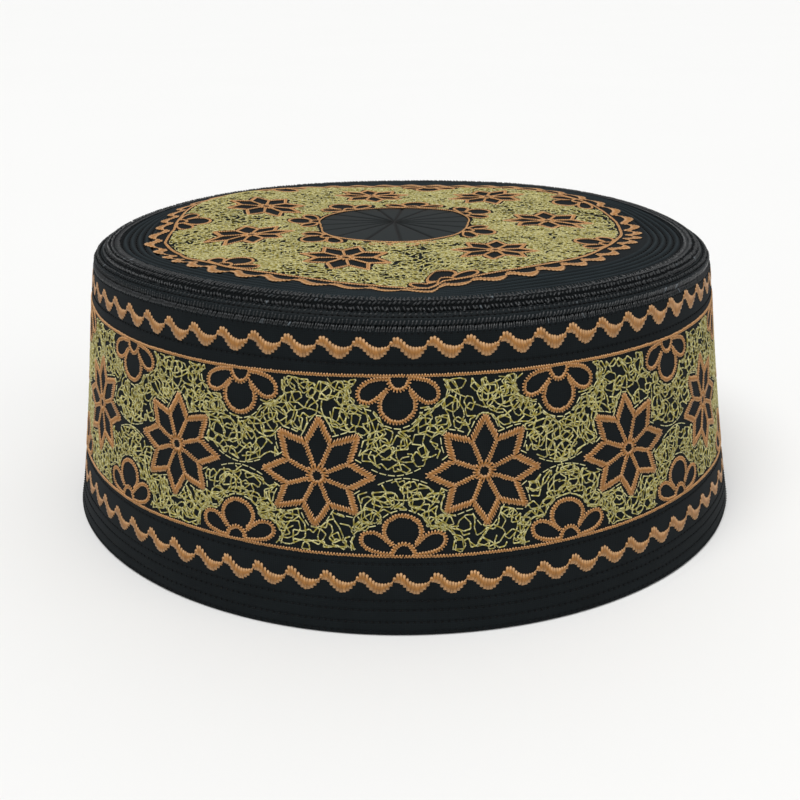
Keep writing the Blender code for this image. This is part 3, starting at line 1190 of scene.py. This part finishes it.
def band_section():
    """The band's section from the hem up its outside and down its inside: how far in and
    how high each corner lies, and whether it is outside."""
    top, edge, foot = sizes().band_height, band_inset(sizes().band_height), band_inset(0)
    plain = np.arange(HEM_ROUND, top - TOP_ROUND, 2.2 * MM)
    near = np.concatenate([row + np.array([-0.9, -0.5, -0.25, 0, 0.25, 0.5, 0.9]) * MM for row in BAND_ROWS])
    heights = np.unique(np.round(np.concatenate([plain, near[near > HEM_ROUND], [top - TOP_ROUND]]), 6))
    outer = [(band_inset(z) + float(grooves(z, 0.30 * MM, QUILTING_DEPTH)), z, True) for z in heights]
    inner = [
        (band_inset(z) + WALL - 0.3 * float(grooves(z, 0.4 * MM, QUILTING_DEPTH)), z, False)
        for z in heights[::-2]
    ]
    hem = (foot + HEM_ROUND, 0.0, False)
    return [
        hem, *rounded(foot, 1, 0.0, 1, HEM_ROUND, (75, 50, 25), True),
        *outer, *rounded(edge, 1, top, -1, TOP_ROUND, (30, 60, 90), True),
        *rounded(edge + WALL, -1, top, -1, TOP_ROUND, (90, 60, 30), False), *inner,
        *rounded(foot + WALL, -1, 0.0, 1, HEM_ROUND, (25, 50, 75), False),
        (foot + WALL - HEM_ROUND, 0.0, False), hem,
    ]


def build_side_band():
    """The quilted wall with its folded hem, its stitched channels and its plain inside."""
    distance = np.linspace(0, round_length(), ROUND_COUNT + 1)
    angle = angle_at(distance)
    section = band_section()
    points, flat, run = [], [], 0.0
    for k, (inset, height, outside) in enumerate(section):
        soft = ripple(angle, height) if outside else 0.0
        points.append(oval_point(angle, inset - soft * smooth_share(height, 0.0, 4 * MM), height))
        if k:
            run += math.hypot(inset - section[k - 1][0], height - section[k - 1][1])
        flat.append(np.stack([distance, np.full(len(distance), run)], axis=1))
    points = np.array(points)
    points[:, -1] = points[:, 0]
    # how deep each row lies in a quilting channel: only the cloth's painted shade reads it
    deep = np.array([grooves(row[1], 0.22 * MM, 0.3) if row[2] else 0.0 for row in section])
    mesh = wrapped_grid(points, np.array(flat), np.tile(deep[:, None], (1, len(distance))))
    piece = finish_piece("quilted_side_band", mesh, [material("cloth")], ["side_band"])


def build_ridge(name, spot, count, channels, key, node):
    """One ridge of the seam as a closed ring, with channels at these turns in degrees: the
    cloth swells out between them."""
    distance = np.linspace(0, round_length(), ROUND_COUNT + 1)
    across = np.linspace(0, 2 * math.pi, count + 1) * MM
    grid = np.stack(np.meshgrid(across, distance, indexing="ij")[::-1], axis=-1)
    # the channels' depth, which also sets their painted shade and the painted light between them
    hollow = sum(np.exp(-((grid[..., 1] / MM - math.radians(at)) / 0.11) ** 2) for at in channels) - 0.25
    points = spot(grid, 0.18 * MM - 0.22 * MM * hollow)
    points[:, -1] = points[:, 0]
    points[-1] = points[0]
    finish_piece(name, wrapped_grid(points, grid * (1.0, 1.3), hollow), [material(key)], [node])


def crown_relief(flat):
    """How deep in a channel a point of the crown lies, for the rows of its margin and the
    lines and edge of its fan, and how much lower that puts it. The margin swells out
    roundly between two rows; the fan's lines are pressed in narrowly."""
    radius = span(flat)
    first, step = CROWN_ROWS[0], CROWN_ROWS[1] - CROWN_ROWS[0]
    ridge = 0.95 - 3.3 * np.abs(np.sin(math.pi * (radius - first) / step)) ** 1.7
    quilted = smooth_share(radius, first - step, first - 0.2 * step)
    gap = flat - CROWN_MIDDLE
    out, fan = span(gap), run_out(gap, FAN_RUN)
    spread = flat - FAN_HUB
    count = stitching().fan_pleats
    aside = (pointing(spread) - math.radians(FAN_LINE)) * count / (2 * math.pi)
    aside = np.abs(aside - np.round(aside)) * 2 * math.pi / count * span(spread)
    pleat = 1.5 * np.exp(-(aside / (0.42 * MM)) ** 2) - 0.3
    pleat = pleat * smooth_share(fan - out, -0.2 * MM, 0.5 * MM)
    edge = 0.8 * np.exp(-((out - fan) / (0.5 * MM)) ** 2)
    # deep also sets the painted shade in the channels and the painted light on the ridges
    deep = ridge * quilted + pleat + edge
    return deep, 0.20 * MM * deep + (0.12 + 0.36 * quilted) * MM


def build_crown():
    """The round top: a quilted disc with its stitched margin and its satin fan."""
    edge = sizes().hem_length / 2 - seam_places()["crown"][0]
    angle = np.linspace(0, 2 * math.pi, CROWN_COUNT + 1)
    margin = np.arange(MARGIN_START, edge / MM - 0.5, MARGIN_CIRCLE_STEP)
    upper = np.concatenate([FAN_CIRCLES, FIELD_CIRCLES, margin, [edge / MM - 0.25, edge / MM]]) * MM
    drops = [(radius, 0.0) for radius in upper[:-1]]
    drops += [(upper[-1], 0.35 * MM), (upper[-1], CROWN_CLOTH - 0.4 * MM), (edge - 0.4 * MM, CROWN_CLOTH)]
    drops += [(radius * MM, CROWN_CLOTH) for radius in UNDERSIDE_CIRCLES]
    points, flat, hollow = [], [], []
    for radius, drop in drops:
        spread = radius * ray(angle) + FAN_HUB * min(1.0, max(0.0, (66 * MM - radius) / (40 * MM)))
        deep, lower = crown_relief(spread) if drop < 0.5 * MM else (np.zeros(len(spread)), 0.0)
        points.append(crown_spot(spread, -lower - drop))
        flat.append(spread)
        hollow.append(deep)
    points = np.array(points)
    points[:, -1] = points[:, 0]
    mesh = wrapped_grid(points, np.array(flat), np.array(hollow))
    for face in mesh.faces:
        gap = np.array(face.calc_center_median()[:2]) - CROWN_MIDDLE
        face.material_index = 1 if np.hypot(*gap) < run_out(gap, FAN_RUN) and face.normal.z > 0 else 0
    piece = finish_piece(
        "quilted_crown", mesh, [material("cloth"), material("fan")], ["crown_panel"]
    )


def band_quilting(random):
    """The black stitches of the band's rows and of its top edge."""
    half = stitching().quilting_length / 2
    count = round(round_length() / stitching().quilting_pitch)
    at = (np.arange(count) + 0.5) * round_length() / count
    starts, ends = (
        np.vstack([
            np.stack([at + side, np.full(count, row)], axis=1)
            for row in (*BAND_ROWS, sizes().band_height - 1.0 * MM)
        ]) for side in (-half, half)
    )
    mesh = lay_stitches(
        "band_quilting", raised(band_spot, -0.04 * MM), starts, ends, 0.44 * MM, 0.26 * MM,
        random.random(len(starts)),
    )
    finish_piece("band_quilting", mesh, [material("sunk")])


def crown_quilting(random):
    """The black stitches of the crown's margin and of the fan's lines."""
    strokes = [dashes(circle(row), 2.2 * MM, 0.3 * MM, closed=True) for row in CROWN_ROWS]
    step = 360 / stitching().fan_pleats
    for k in range(stitching().fan_pleats):
        turn = math.radians(FAN_LINE + k * step)
        way = np.array([math.cos(turn), math.sin(turn)])
        reached = np.arange(2.0, 26.0, 0.25)[:, None] * MM * way + FAN_HUB
        gap = reached - CROWN_MIDDLE
        inside = reached[span(gap) < run_out(gap, FAN_RUN) - 0.8 * MM]
        strokes.append(dashes([inside[0], inside[-1]], 1.6 * MM, 0.5 * MM))
    starts, ends = joined(strokes)
    mesh = lay_stitches(
        "crown_quilting", raised(crown_spot, -0.66 * MM), starts, ends, 0.42 * MM, 0.28 * MM,
        random.random(len(starts)),
    )
    finish_piece("crown_quilting", mesh, [material("sunk")])


def build_quilting():
    """Black stitches sunk in the channels of band and crown."""
    random = np.random.default_rng(3)
    band_quilting(random)
    crown_quilting(random)


def plait(count, low, high, lean, wander, random):
    """A row of stitches round a ridge, between two turns in degrees: the two ends."""
    at = (np.arange(count) + 0.5) * round_length() / count
    shift = random.uniform(-wander, wander, (2, count)) * MM
    sway = random.uniform(-7, 7, (2, count))
    starts = np.stack([at - lean / 2 + shift[0], np.radians(low + sway[0]) * MM], axis=1)
    ends = np.stack([at + lean / 2 + shift[1], np.radians(high + sway[1]) * MM], axis=1)
    return starts, ends


def bridge(low_spot, low, high_spot, high):
    """A function that places points on the straight way from one surface to another, from
    the distance round them and the share of the way, a millimetre for the whole."""
    def spot(flat, out=0.0):
        share = (flat[..., 1] / MM)[..., None]
        first = low_spot(np.stack([flat[..., 0], np.full(flat.shape[:-1], low)], axis=-1), out)
        last = high_spot(np.stack([flat[..., 0], np.full(flat.shape[:-1], high)], axis=-1), out)
        return first * (1 - share) + last * share
    return spot


def margin_spot(flat, out=0.0):
    """A point of the crown's margin, from the distance round it and how far in it is."""
    radius = sizes().hem_length / 2 - seam_places()["crown"][0] - flat[..., 1]
    return crown_spot(radius[..., None] * ray(angle_at(flat[..., 0])), out)


def build_seam_threads():
    """Slanted stitches on the roll, the overcasting, and the stitches that close the seams
    between band, roll, ridge and crown."""
    random = np.random.default_rng(11)
    around = round_length()

    def row(low, high, lean, pitch, wander=0.15):
        """Stitches between two turns across a ridge in degrees; the rest in millimetres."""
        return plait(round(around / (pitch * MM)), low, high, lean * MM, wander, random)

    def lay(name, spot, rows, width, height, key, rise=0.35):
        """One piece of black stitches from its rows."""
        starts, ends = joined(rows)
        wide = random.uniform(0.8, 1.2, len(starts)) * width
        mesh = lay_stitches(name, spot, starts, ends, wide, height, random.random(len(starts)), rise)
        finish_piece(name, mesh, [material(key)])

    lay(
        "roll_stitches", raised(roll_spot(), 0.14 * MM),
        [row(186, 118, 0.75, 0.95), row(92, 60, 0.5, 1.3, 0.3)], 0.50 * MM, 0.46 * MM, "thread",
    )
    lay(
        "roll_quilting", raised(roll_spot(), 0.10 * MM),
        [row(98, 98, 0.8, 1.4), row(50, 50, 0.8, 1.4), row(200, 200, 0.7, 1.2)], 0.38 * MM, 0.34 * MM,
        "sunk",
    )
    lay(
        "overcast_stitches", raised(overcast_spot(), 0.12 * MM),
        [
            row(214, 160, 0.7, 0.94, 0.22), row(176, 124, -0.6, 0.98, 0.22), row(205, 130, 1.1, 2.7, 0.3),
            row(114, 80, 1.0, 1.2, 0.3), row(72, 30, -0.9, 1.15, 0.3),
        ],
        0.62 * MM, 0.60 * MM, "thread",
    )
    # each seam: from this surface at this place, to that one at that place, stitches apart
    seams = (
        ("lower", band_spot, sizes().band_height - 0.9 * MM, roll_spot(), math.radians(178) * MM, 0.62),
        ("middle", roll_spot(), math.radians(84) * MM, overcast_spot(), math.radians(196) * MM, 0.80),
        ("upper", overcast_spot(), math.radians(44) * MM, margin_spot, 1.0 * MM, 1.05),
    )
    for place, low_spot, low, high_spot, high, pitch in seams:
        for way in (1, -1):
            first, last = row(0, math.degrees(1.0), way * 0.55, pitch if way > 0 else 2.9, 0.2)
            first[:, 1], last[:, 1] = np.clip(first[:, 1], 0, MM), np.clip(last[:, 1], 0, MM)
            lay(
                f"{place}_seam_stitches_{'slant' if way > 0 else 'back'}",
                bridge(low_spot, low, high_spot, high), [(first, last)], 0.52 * MM, 0.50 * MM, "thread", 0.2,
            )


def copper_piece(name, spot, strokes, seed, full=1.15, flat=1.0, rise=0.35, shade=0.6):
    """One piece of copper satin stitch from its strokes: full and flat are shares of the
    stitches' usual width and height, shade their usual tone."""
    starts, ends = joined(strokes)
    shades = shade + np.random.default_rng(seed).uniform(-0.3, 0.3, len(starts))
    width, height = stitching().satin_pitch * full, stitching().satin_height * flat
    mesh = lay_stitches(name, spot, starts, ends, width, height, shades, rise)
    finish_piece(name, mesh, [material("copper")])


def build_waves():
    """The three wave borders in satin stitch."""
    kit = stitching()
    random = np.random.default_rng(21)
    rows = (
        ("lower_wave_border", LOWER_WAVE_AXIS, kit.lower_waves, -0.12),
        ("upper_wave_border", UPPER_WAVE_AXIS, kit.upper_waves, -0.15),
    )
    for seed, (name, axis, count, shift) in enumerate(rows):
        pitch = round_length() / count
        strokes = []
        for k in range(count):
            wave = wave_strokes(pitch / MM, random)
            strokes.append(placed(wave, ((k + shift - 0.16) * pitch, axis)))
        copper_piece(name, stitched_spot, strokes, 22 + seed, full=2.5, flat=0.42, rise=0.6, shade=0.35)
    count = kit.crown_waves
    pitch = 2 * math.pi * CROWN_WAVE_AXIS / count
    strokes = []
    for k in range(count):
        bent = []
        for points in wave_strokes(pitch / MM, random):
            along = k * pitch + points[:, 0] * MM
            radius = CROWN_WAVE_AXIS - points[:, 1] * MM - 0.2 * MM
            bent.append(CROWN_MIDDLE + radius[:, None] * ray(along / CROWN_WAVE_AXIS))
        strokes.append((bent[0], bent[1]))
    # shade 0.7: the crown's copper is painted brighter than the band's, for the light from above
    copper_piece("crown_wave_border", pattern_spot, strokes, 24, full=2.5, flat=0.42, rise=0.6, shade=0.7)


def build_lines():
    """The plain satin lines that frame the embroidered fields."""
    random = np.random.default_rng(31)
    strokes = []
    for height in (LOWER_LINE, UPPER_LINE):
        line = np.stack([np.linspace(0, round_length() / MM, 721), np.full(721, height / MM)], axis=1)
        strokes.append(placed(satin(line, LINE_WIDTH, random), (0, 0)))
    copper_piece("border_lines", stitched_spot, strokes, 32)
    strokes = []
    for radius, width in ((RING_LINE, LINE_WIDTH), (FAN_RADIUS, FAN_LINE_WIDTH)):
        strokes.append(placed(satin(circle(radius / MM), width, random, closed=True), CROWN_MIDDLE))
    # shade 0.7: the crown's copper is painted brighter than the band's, for the light from above
    copper_piece("crown_rings", pattern_spot, strokes, 33, shade=0.7)


def build_stars():
    """The eight-pointed stars of band and crown."""
    random = np.random.default_rng(41)
    copper_piece(
        "band_stars", stitched_spot, [placed(star_strokes(random), place) for place in star_places()], 42,
        full=1.05,
    )
    strokes = [
        placed(
            star_strokes(random, CROWN_STAR_THIN), polar(row["out"], row["angle"]), row["angle"],
            scale=CROWN_SCALE,
        ) for row in CROWN_STARS
    ]
    # shade 0.7: the crown's copper is painted brighter than the band's, for the light from above
    copper_piece("crown_stars", pattern_spot, strokes, 43, shade=0.7)


def build_half_flowers():
    """The half flowers that grow from the border lines."""
    random = np.random.default_rng(51)
    strokes = [placed(flower_strokes(random), place, flip=hangs) for place, hangs in flower_places()]
    copper_piece("band_half_flowers", stitched_spot, strokes, 52)
    strokes = [
        placed(
            flower_strokes(random, CROWN_FLOWER_THIN), polar(RING_LINE, angle), angle + 90, scale=CROWN_SCALE,
        ) for angle in RING_FLOWERS
    ]
    for angle in FAN_FLOWERS:
        tall = FOLDED_FLOWER["tall"] if angle == FOLDED_FLOWER["angle"] else 1.0
        flower = [points * (1, tall) for points in flower_strokes(random, CROWN_FLOWER_THIN)]
        strokes.append(placed(flower, polar(FAN_RADIUS, angle), angle - 90, scale=CROWN_SCALE))
    # shade 0.7: the crown's copper is painted brighter than the band's, for the light from above
    copper_piece("crown_half_flowers", pattern_spot, strokes, 53, shade=0.7)


def green_piece(name, spot, lines, loops, seed):
    """One piece of green running stitch: pale lines round the ornaments, and loops."""
    kit = stitching()
    lines = joined(lines)
    count, looped = len(lines[0]), len(loops[0])
    random = np.random.default_rng(seed)
    looped_shades = random.uniform(0.0, 0.80, looped) * np.where(loops[2], 0.55, 1.0)
    shades = np.concatenate([random.uniform(0.80, 1.0, count), looped_shades])
    width = np.concatenate([np.full(count, 0.80), random.uniform(0.85, 1.10, looped)]) * kit.running_width
    mesh = lay_stitches(
        name, spot, np.vstack([lines[0], loops[0]]) * MM, np.vstack([lines[1], loops[1]]) * MM,
        width, width * 0.9, shades,
    )
    finish_piece(name, mesh, [material("green")])


def band_running_stitch(random, step):
    """The band's green thread: outlines of stars and half flowers, bows over and under
    the bare strips between the stars, and the loops."""
    around = round_length() / MM
    field = ThreadField((0, LOWER_LINE / MM + 0.8), (around, UPPER_LINE / MM - 0.8), True)
    lines = []
    for place in star_places():
        field.keep_off_star(place / MM, 0.0, 1.1)
        lines += [outline(halo + place / MM) for halo in star_halos()]
    bow = np.linspace(-5.6, 5.6, 15)
    for place, hangs in flower_places():
        field.keep_off_flower(place / MM, 0.0, hangs, 0.5)
        way = -1 if hangs else 1
        lines.append(outline(flower_halo() * (1, way) + place / MM))
        strip = np.array([place[0], STAR_HEIGHT]) / MM
        lines.append(outline(np.stack([bow, -way * (0.35 + 0.05 * bow ** 2)], axis=1) + strip))
        cells, gap = field.around(strip, 8)
        field.free[cells] &= np.abs(gap[..., 1]) > 0.3 + 0.05 * gap[..., 0] ** 2
    field.plan(random)
    loops = field.loops(stitching().band_loops, step, random)
    green_piece("band_running_stitch", stitched_spot, lines, loops, 62)


def crown_running_stitch(random, step):
    """The crown's green thread: outlines of stars and half flowers, and the loops."""
    edge = RING_LINE / MM - 0.8
    middle = CROWN_MIDDLE / MM
    field = ThreadField(middle - edge, middle + edge, False)
    field.free[:] = False
    cells, gap = field.around(middle, edge)
    field.free[cells] = (span(gap) < edge) & (span(gap) > FAN_RADIUS / MM + 0.9)
    lines = []
    for row in CROWN_STARS:
        place = polar(row["out"], row["angle"]) / MM
        field.keep_off_star(place, row["angle"], 0.5, CROWN_SCALE)
        lines += [outline(turned(halo, row["angle"]) * CROWN_SCALE + place) for halo in star_halos()]
    for radius, side, angles in ((RING_LINE, 90, RING_FLOWERS), (FAN_RADIUS, -90, FAN_FLOWERS)):
        for angle in angles:
            if angle == FOLDED_FLOWER["angle"]:
                continue
            place = polar(radius, angle) / MM
            field.keep_off_flower(place, angle + side, False, 0.2, CROWN_SCALE)
            lines.append(outline(turned(flower_halo(), angle + side) * CROWN_SCALE + place))
    field.plan(random)
    loops = field.loops(stitching().crown_loops, step, random)
    green_piece("crown_running_stitch", pattern_spot, lines, loops, 63)


def build_running_stitch():
    """The fine green running stitch that loops between the ornaments."""
    random = np.random.default_rng(61)
    step = stitching().running_pitch / MM
    band_running_stitch(random, step)
    crown_running_stitch(random, step * 0.95)


def build_stage():
    """Pale floor, soft lights and the camera."""
    stage = bpy.context.scene.kufi_stage
    mesh = bmesh.new()
    bmesh.ops.create_grid(mesh, x_segments=8, y_segments=8, size=stage.floor_size / 2)
    data = bpy.data.meshes.new("studio_floor")
    mesh.to_mesh(data)
    mesh.free()
    data.materials.append(studio_paper(stage.floor_colour))
    floor = bpy.data.objects.new("studio_floor", data)
    bpy.context.scene.collection.objects.link(floor)
    world = bpy.data.worlds.new("pale_room")
    world.use_nodes = True
    back = world.node_tree.nodes["Background"]
    back.inputs["Color"].default_value = linear("#FFFFFF")
    back.inputs["Strength"].default_value = stage.room_light
    bpy.context.scene.world = world
    lamps = (
        {"name": "key_light", "from": (-0.35, -0.55, 1.40), "wide": 40, "power": stage.key_light},
        {"name": "fill_light", "from": (1.00, -0.70, 0.80), "wide": 60, "power": stage.key_light * 0.25},
        {"name": "top_light", "from": (0.20, 0.60, 1.20), "wide": 60, "power": stage.key_light * 0.25},
    )
    for row in lamps:
        light = bpy.data.lights.new(row["name"], "SUN")
        light.angle = math.radians(row["wide"])
        light.energy = row["power"]
        lamp = bpy.data.objects.new(row["name"], light)
        lamp.location = row["from"]
        lamp.rotation_euler = (-lamp.location).to_track_quat("-Z", "Y").to_euler()
        bpy.context.scene.collection.objects.link(lamp)
    lens = bpy.data.cameras.new("photo_camera")
    lens.sensor_width = 36.0
    lens.lens = stage.lens
    lens.clip_start, lens.clip_end = 0.01, 100
    camera = bpy.data.objects.new("photo_camera", lens)
    pitch, yaw, roll = stage.camera_pitch, stage.camera_yaw, stage.camera_roll
    ahead = Vector((math.sin(yaw) * math.cos(pitch), math.cos(yaw) * math.cos(pitch), -math.sin(pitch)))
    right = Vector((math.cos(yaw), -math.sin(yaw), 0))
    down = ahead.cross(right)
    across = math.cos(roll) * right + math.sin(roll) * down
    below = -math.sin(roll) * right + math.cos(roll) * down
    camera.matrix_world = Matrix.Translation(stage.camera_place) @ Matrix(
        (across, -below, -ahead)
    ).transposed().to_4x4()
    bpy.context.scene.collection.objects.link(camera)
    bpy.context.scene.camera = camera
    bpy.context.scene.view_settings.view_transform = "Standard"


# The add-on


def length(name, description, default):
    """A setting for a length, given in millimetres."""
    return FloatProperty(name=name, description=description, default=default * MM, unit="LENGTH", precision=5)


def dye(name, description, default):
    """A setting for a colour, given as its sRGB hex value."""
    return FloatVectorProperty(
        name=name, description=description, default=linear(default)[:3], subtype="COLOR", size=3, min=0, max=1
    )


def number(name, description, default, least):
    """A setting for a count."""
    return IntProperty(name=name, description=description, default=default, min=least)


class KufiSizes(bpy.types.PropertyGroup):
    """How large the cap is"""
    hem_length: length("Hem length", "Outside the hem, along the longer way of the oval", 194.0)
    hem_width: length("Hem width", "Outside the hem, across the oval", 188.6)
    band_height: length("Band height", "From the hem to the band's top edge", 70.0)
    band_taper: length("Band taper", "How far the band leans in up to its top edge", 11.0)
    band_waist: length("Band waist", "How far the band is hollow half way up", 0.7)


class KufiStitching(bpy.types.PropertyGroup):
    """How it is stitched"""
    satin_pitch: length("Satin pitch", "Distance between two satin stitches", 0.33)
    satin_height: length("Satin height", "How high a satin stitch stands on the cloth", 0.38)
    running_pitch: length("Running stitch", "Length of one green running stitch", 1.9)
    running_width: length("Green thread", "Width of the green thread", 0.38)
    quilting_pitch: length("Quilting pitch", "Distance between two black quilting stitches", 1.5)
    quilting_length: length("Quilting stitch", "Length of one black quilting stitch", 0.7)
    stars: number("Stars", "Stars round the band", 15, 3)
    lower_waves: number("Lower waves", "Waves of the lower border", 70, 3)
    upper_waves: number("Upper waves", "Waves of the upper border", 66, 3)
    crown_waves: number("Crown waves", "Waves round the crown", 49, 3)
    wave_stitches: number("Wave stitches", "Stitches in one wave", 24, 5)
    fan_pleats: number("Fan lines", "Stitched lines of the fan", 17, 3)
    band_loops: number("Band loops", "Green looping stitches on the band", 11500, 1)
    crown_loops: number("Crown loops", "Green looping stitches on the crown", 9800, 1)


class KufiColours(bpy.types.PropertyGroup):
    """What its cloth and threads are dyed"""
    cloth: dye("Cloth", "Black cotton of band and crown", "#0E1315")
    fan: dye("Fan cloth", "Satin cotton of the fan", "#101617")
    black_thread: dye("Black thread", "Thread of the quilting and the seam", "#16191B")
    copper: dye("Copper thread", "Body of the satin stitches", "#9E6C33")
    # painted highlight where the satin stitches bend
    copper_bend_highlight: dye("Copper tips", "Where the satin stitches bend", "#CCA072")
    green: dye("Green thread", "Body of the running stitches", "#9A8D33")
    # painted highlight where the running stitches bend, and the colour of the palest stitches
    green_pale_and_bend_highlight: dye("Green tips", "Where the running stitches bend", "#D6D19E")


class KufiStage(bpy.types.PropertyGroup):
    """The studio round it"""
    floor_size: FloatProperty(
        name="Floor", description="Side of the studio floor", default=60.0, unit="LENGTH")
    floor_colour: dye("Floor colour", "Studio paper", "#EDEDEC")
    room_light: FloatProperty(name="Room light", description="Light from all sides", default=0.28, min=0)
    key_light: FloatProperty(
        name="Key light", description="Strength of the main light", default=2.2, min=0)
    lens: FloatProperty(name="Lens", description="Focal length in millimetres", default=47.87, min=1)
    camera_place: FloatVectorProperty(
        name="Camera place", description="Where the camera stands", subtype="TRANSLATION", size=3,
        default=(0.0, -302.10 * MM, 138.76 * MM), unit="LENGTH", precision=4)
    camera_pitch: FloatProperty(
        name="Camera pitch", description="How far the camera looks down", default=0.3700, unit="ROTATION")
    camera_yaw: FloatProperty(
        name="Camera yaw", description="How far it looks to the right", default=-0.0026, unit="ROTATION")
    camera_roll: FloatProperty(
        name="Camera roll", description="How far it leans", default=0.0083, unit="ROTATION")


class KUFI_OT_side_band(bpy.types.Operator):
    """Make the quilted side band"""
    bl_idname = "kufi.side_band"
    bl_label = "Side Band"

    def execute(self, context):
        build_side_band()
        return {"FINISHED"}


class KUFI_OT_seam(bpy.types.Operator):
    """Make the folded roll and the overcast ridge between band and crown"""
    bl_idname = "kufi.seam"
    bl_label = "Seam Ridges"

    def execute(self, context):
        build_ridge(
            "stitched_edge_roll", roll_spot(), ROLL_COUNT, ROLL_CHANNELS, "roll", "edge_roll"
        )
        build_ridge(
            "overcast_seam_core", overcast_spot(), OVERCAST_COUNT, OVERCAST_CHANNELS, "core",
            "overcast_ridge",
        )
        return {"FINISHED"}


class KUFI_OT_crown(bpy.types.Operator):
    """Make the quilted crown with its satin fan"""
    bl_idname = "kufi.crown"
    bl_label = "Crown"

    def execute(self, context):
        build_crown()
        return {"FINISHED"}


class KUFI_OT_quilting(bpy.types.Operator):
    """Lay the black quilting stitches"""
    bl_idname = "kufi.quilting"
    bl_label = "Quilting"

    def execute(self, context):
        build_quilting()
        return {"FINISHED"}


class KUFI_OT_seam_threads(bpy.types.Operator):
    """Lay the black stitches over the seam"""
    bl_idname = "kufi.seam_threads"
    bl_label = "Seam Stitches"

    def execute(self, context):
        build_seam_threads()
        return {"FINISHED"}


class KUFI_OT_waves(bpy.types.Operator):
    """Stitch the three wave borders"""
    bl_idname = "kufi.waves"
    bl_label = "Wave Borders"

    def execute(self, context):
        build_waves()
        return {"FINISHED"}


class KUFI_OT_lines(bpy.types.Operator):
    """Stitch the plain copper lines and rings"""
    bl_idname = "kufi.lines"
    bl_label = "Border Lines"

    def execute(self, context):
        build_lines()
        return {"FINISHED"}


class KUFI_OT_stars(bpy.types.Operator):
    """Stitch the stars of band and crown"""
    bl_idname = "kufi.stars"
    bl_label = "Stars"

    def execute(self, context):
        build_stars()
        return {"FINISHED"}


class KUFI_OT_half_flowers(bpy.types.Operator):
    """Stitch the half flowers of band and crown"""
    bl_idname = "kufi.half_flowers"
    bl_label = "Half Flowers"

    def execute(self, context):
        build_half_flowers()
        return {"FINISHED"}


class KUFI_OT_running_stitch(bpy.types.Operator):
    """Lay the looping green running stitch"""
    bl_idname = "kufi.running_stitch"
    bl_label = "Running Stitch"

    def execute(self, context):
        build_running_stitch()
        return {"FINISHED"}


class KUFI_OT_stage(bpy.types.Operator):
    """Set up the floor, the lights and the camera"""
    bl_idname = "kufi.stage"
    bl_label = "Stage"

    def execute(self, context):
        build_stage()
        return {"FINISHED"}


OPERATORS = (
    KUFI_OT_side_band, KUFI_OT_seam, KUFI_OT_crown, KUFI_OT_quilting, KUFI_OT_seam_threads, KUFI_OT_waves,
    KUFI_OT_lines, KUFI_OT_stars, KUFI_OT_half_flowers, KUFI_OT_running_stitch, KUFI_OT_stage,
)


class KUFI_PT_panel(bpy.types.Panel):
    """Sizes, colours and steps of the kufi"""
    bl_label = "Kufi"
    bl_idname = "KUFI_PT_panel"
    bl_space_type = "VIEW_3D"
    bl_region_type = "UI"
    bl_category = "Kufi"

    def draw(self, context):
        for group in GROUPS:
            box = self.layout.box()
            values = getattr(context.scene, group)
            for name in values.bl_rna.properties.keys():
                if name not in ("rna_type", "name"):
                    box.prop(values, name)
        for operator in OPERATORS:
            self.layout.operator(operator.bl_idname)


GROUPS = {
    "kufi_sizes": KufiSizes, "kufi_stitching": KufiStitching, "kufi_colours": KufiColours,
    "kufi_stage": KufiStage,
}


def register():
    """Adds the cap's settings, steps and panel."""
    for kind in (*GROUPS.values(), *OPERATORS, KUFI_PT_panel):
        bpy.utils.register_class(kind)
    for name, kind in GROUPS.items():
        setattr(bpy.types.Scene, name, PointerProperty(type=kind))


def unregister():
    """Takes them away again."""
    for name in GROUPS:
        delattr(bpy.types.Scene, name)
    for kind in reversed((*GROUPS.values(), *OPERATORS, KUFI_PT_panel)):
        bpy.utils.unregister_class(kind)


def main():
    """Makes the whole cap and its stage."""
    register()
    for operator in OPERATORS:
        family, step = operator.bl_idname.split(".")
        getattr(getattr(bpy.ops, family), step)()


if __name__ == "__main__":
    main()
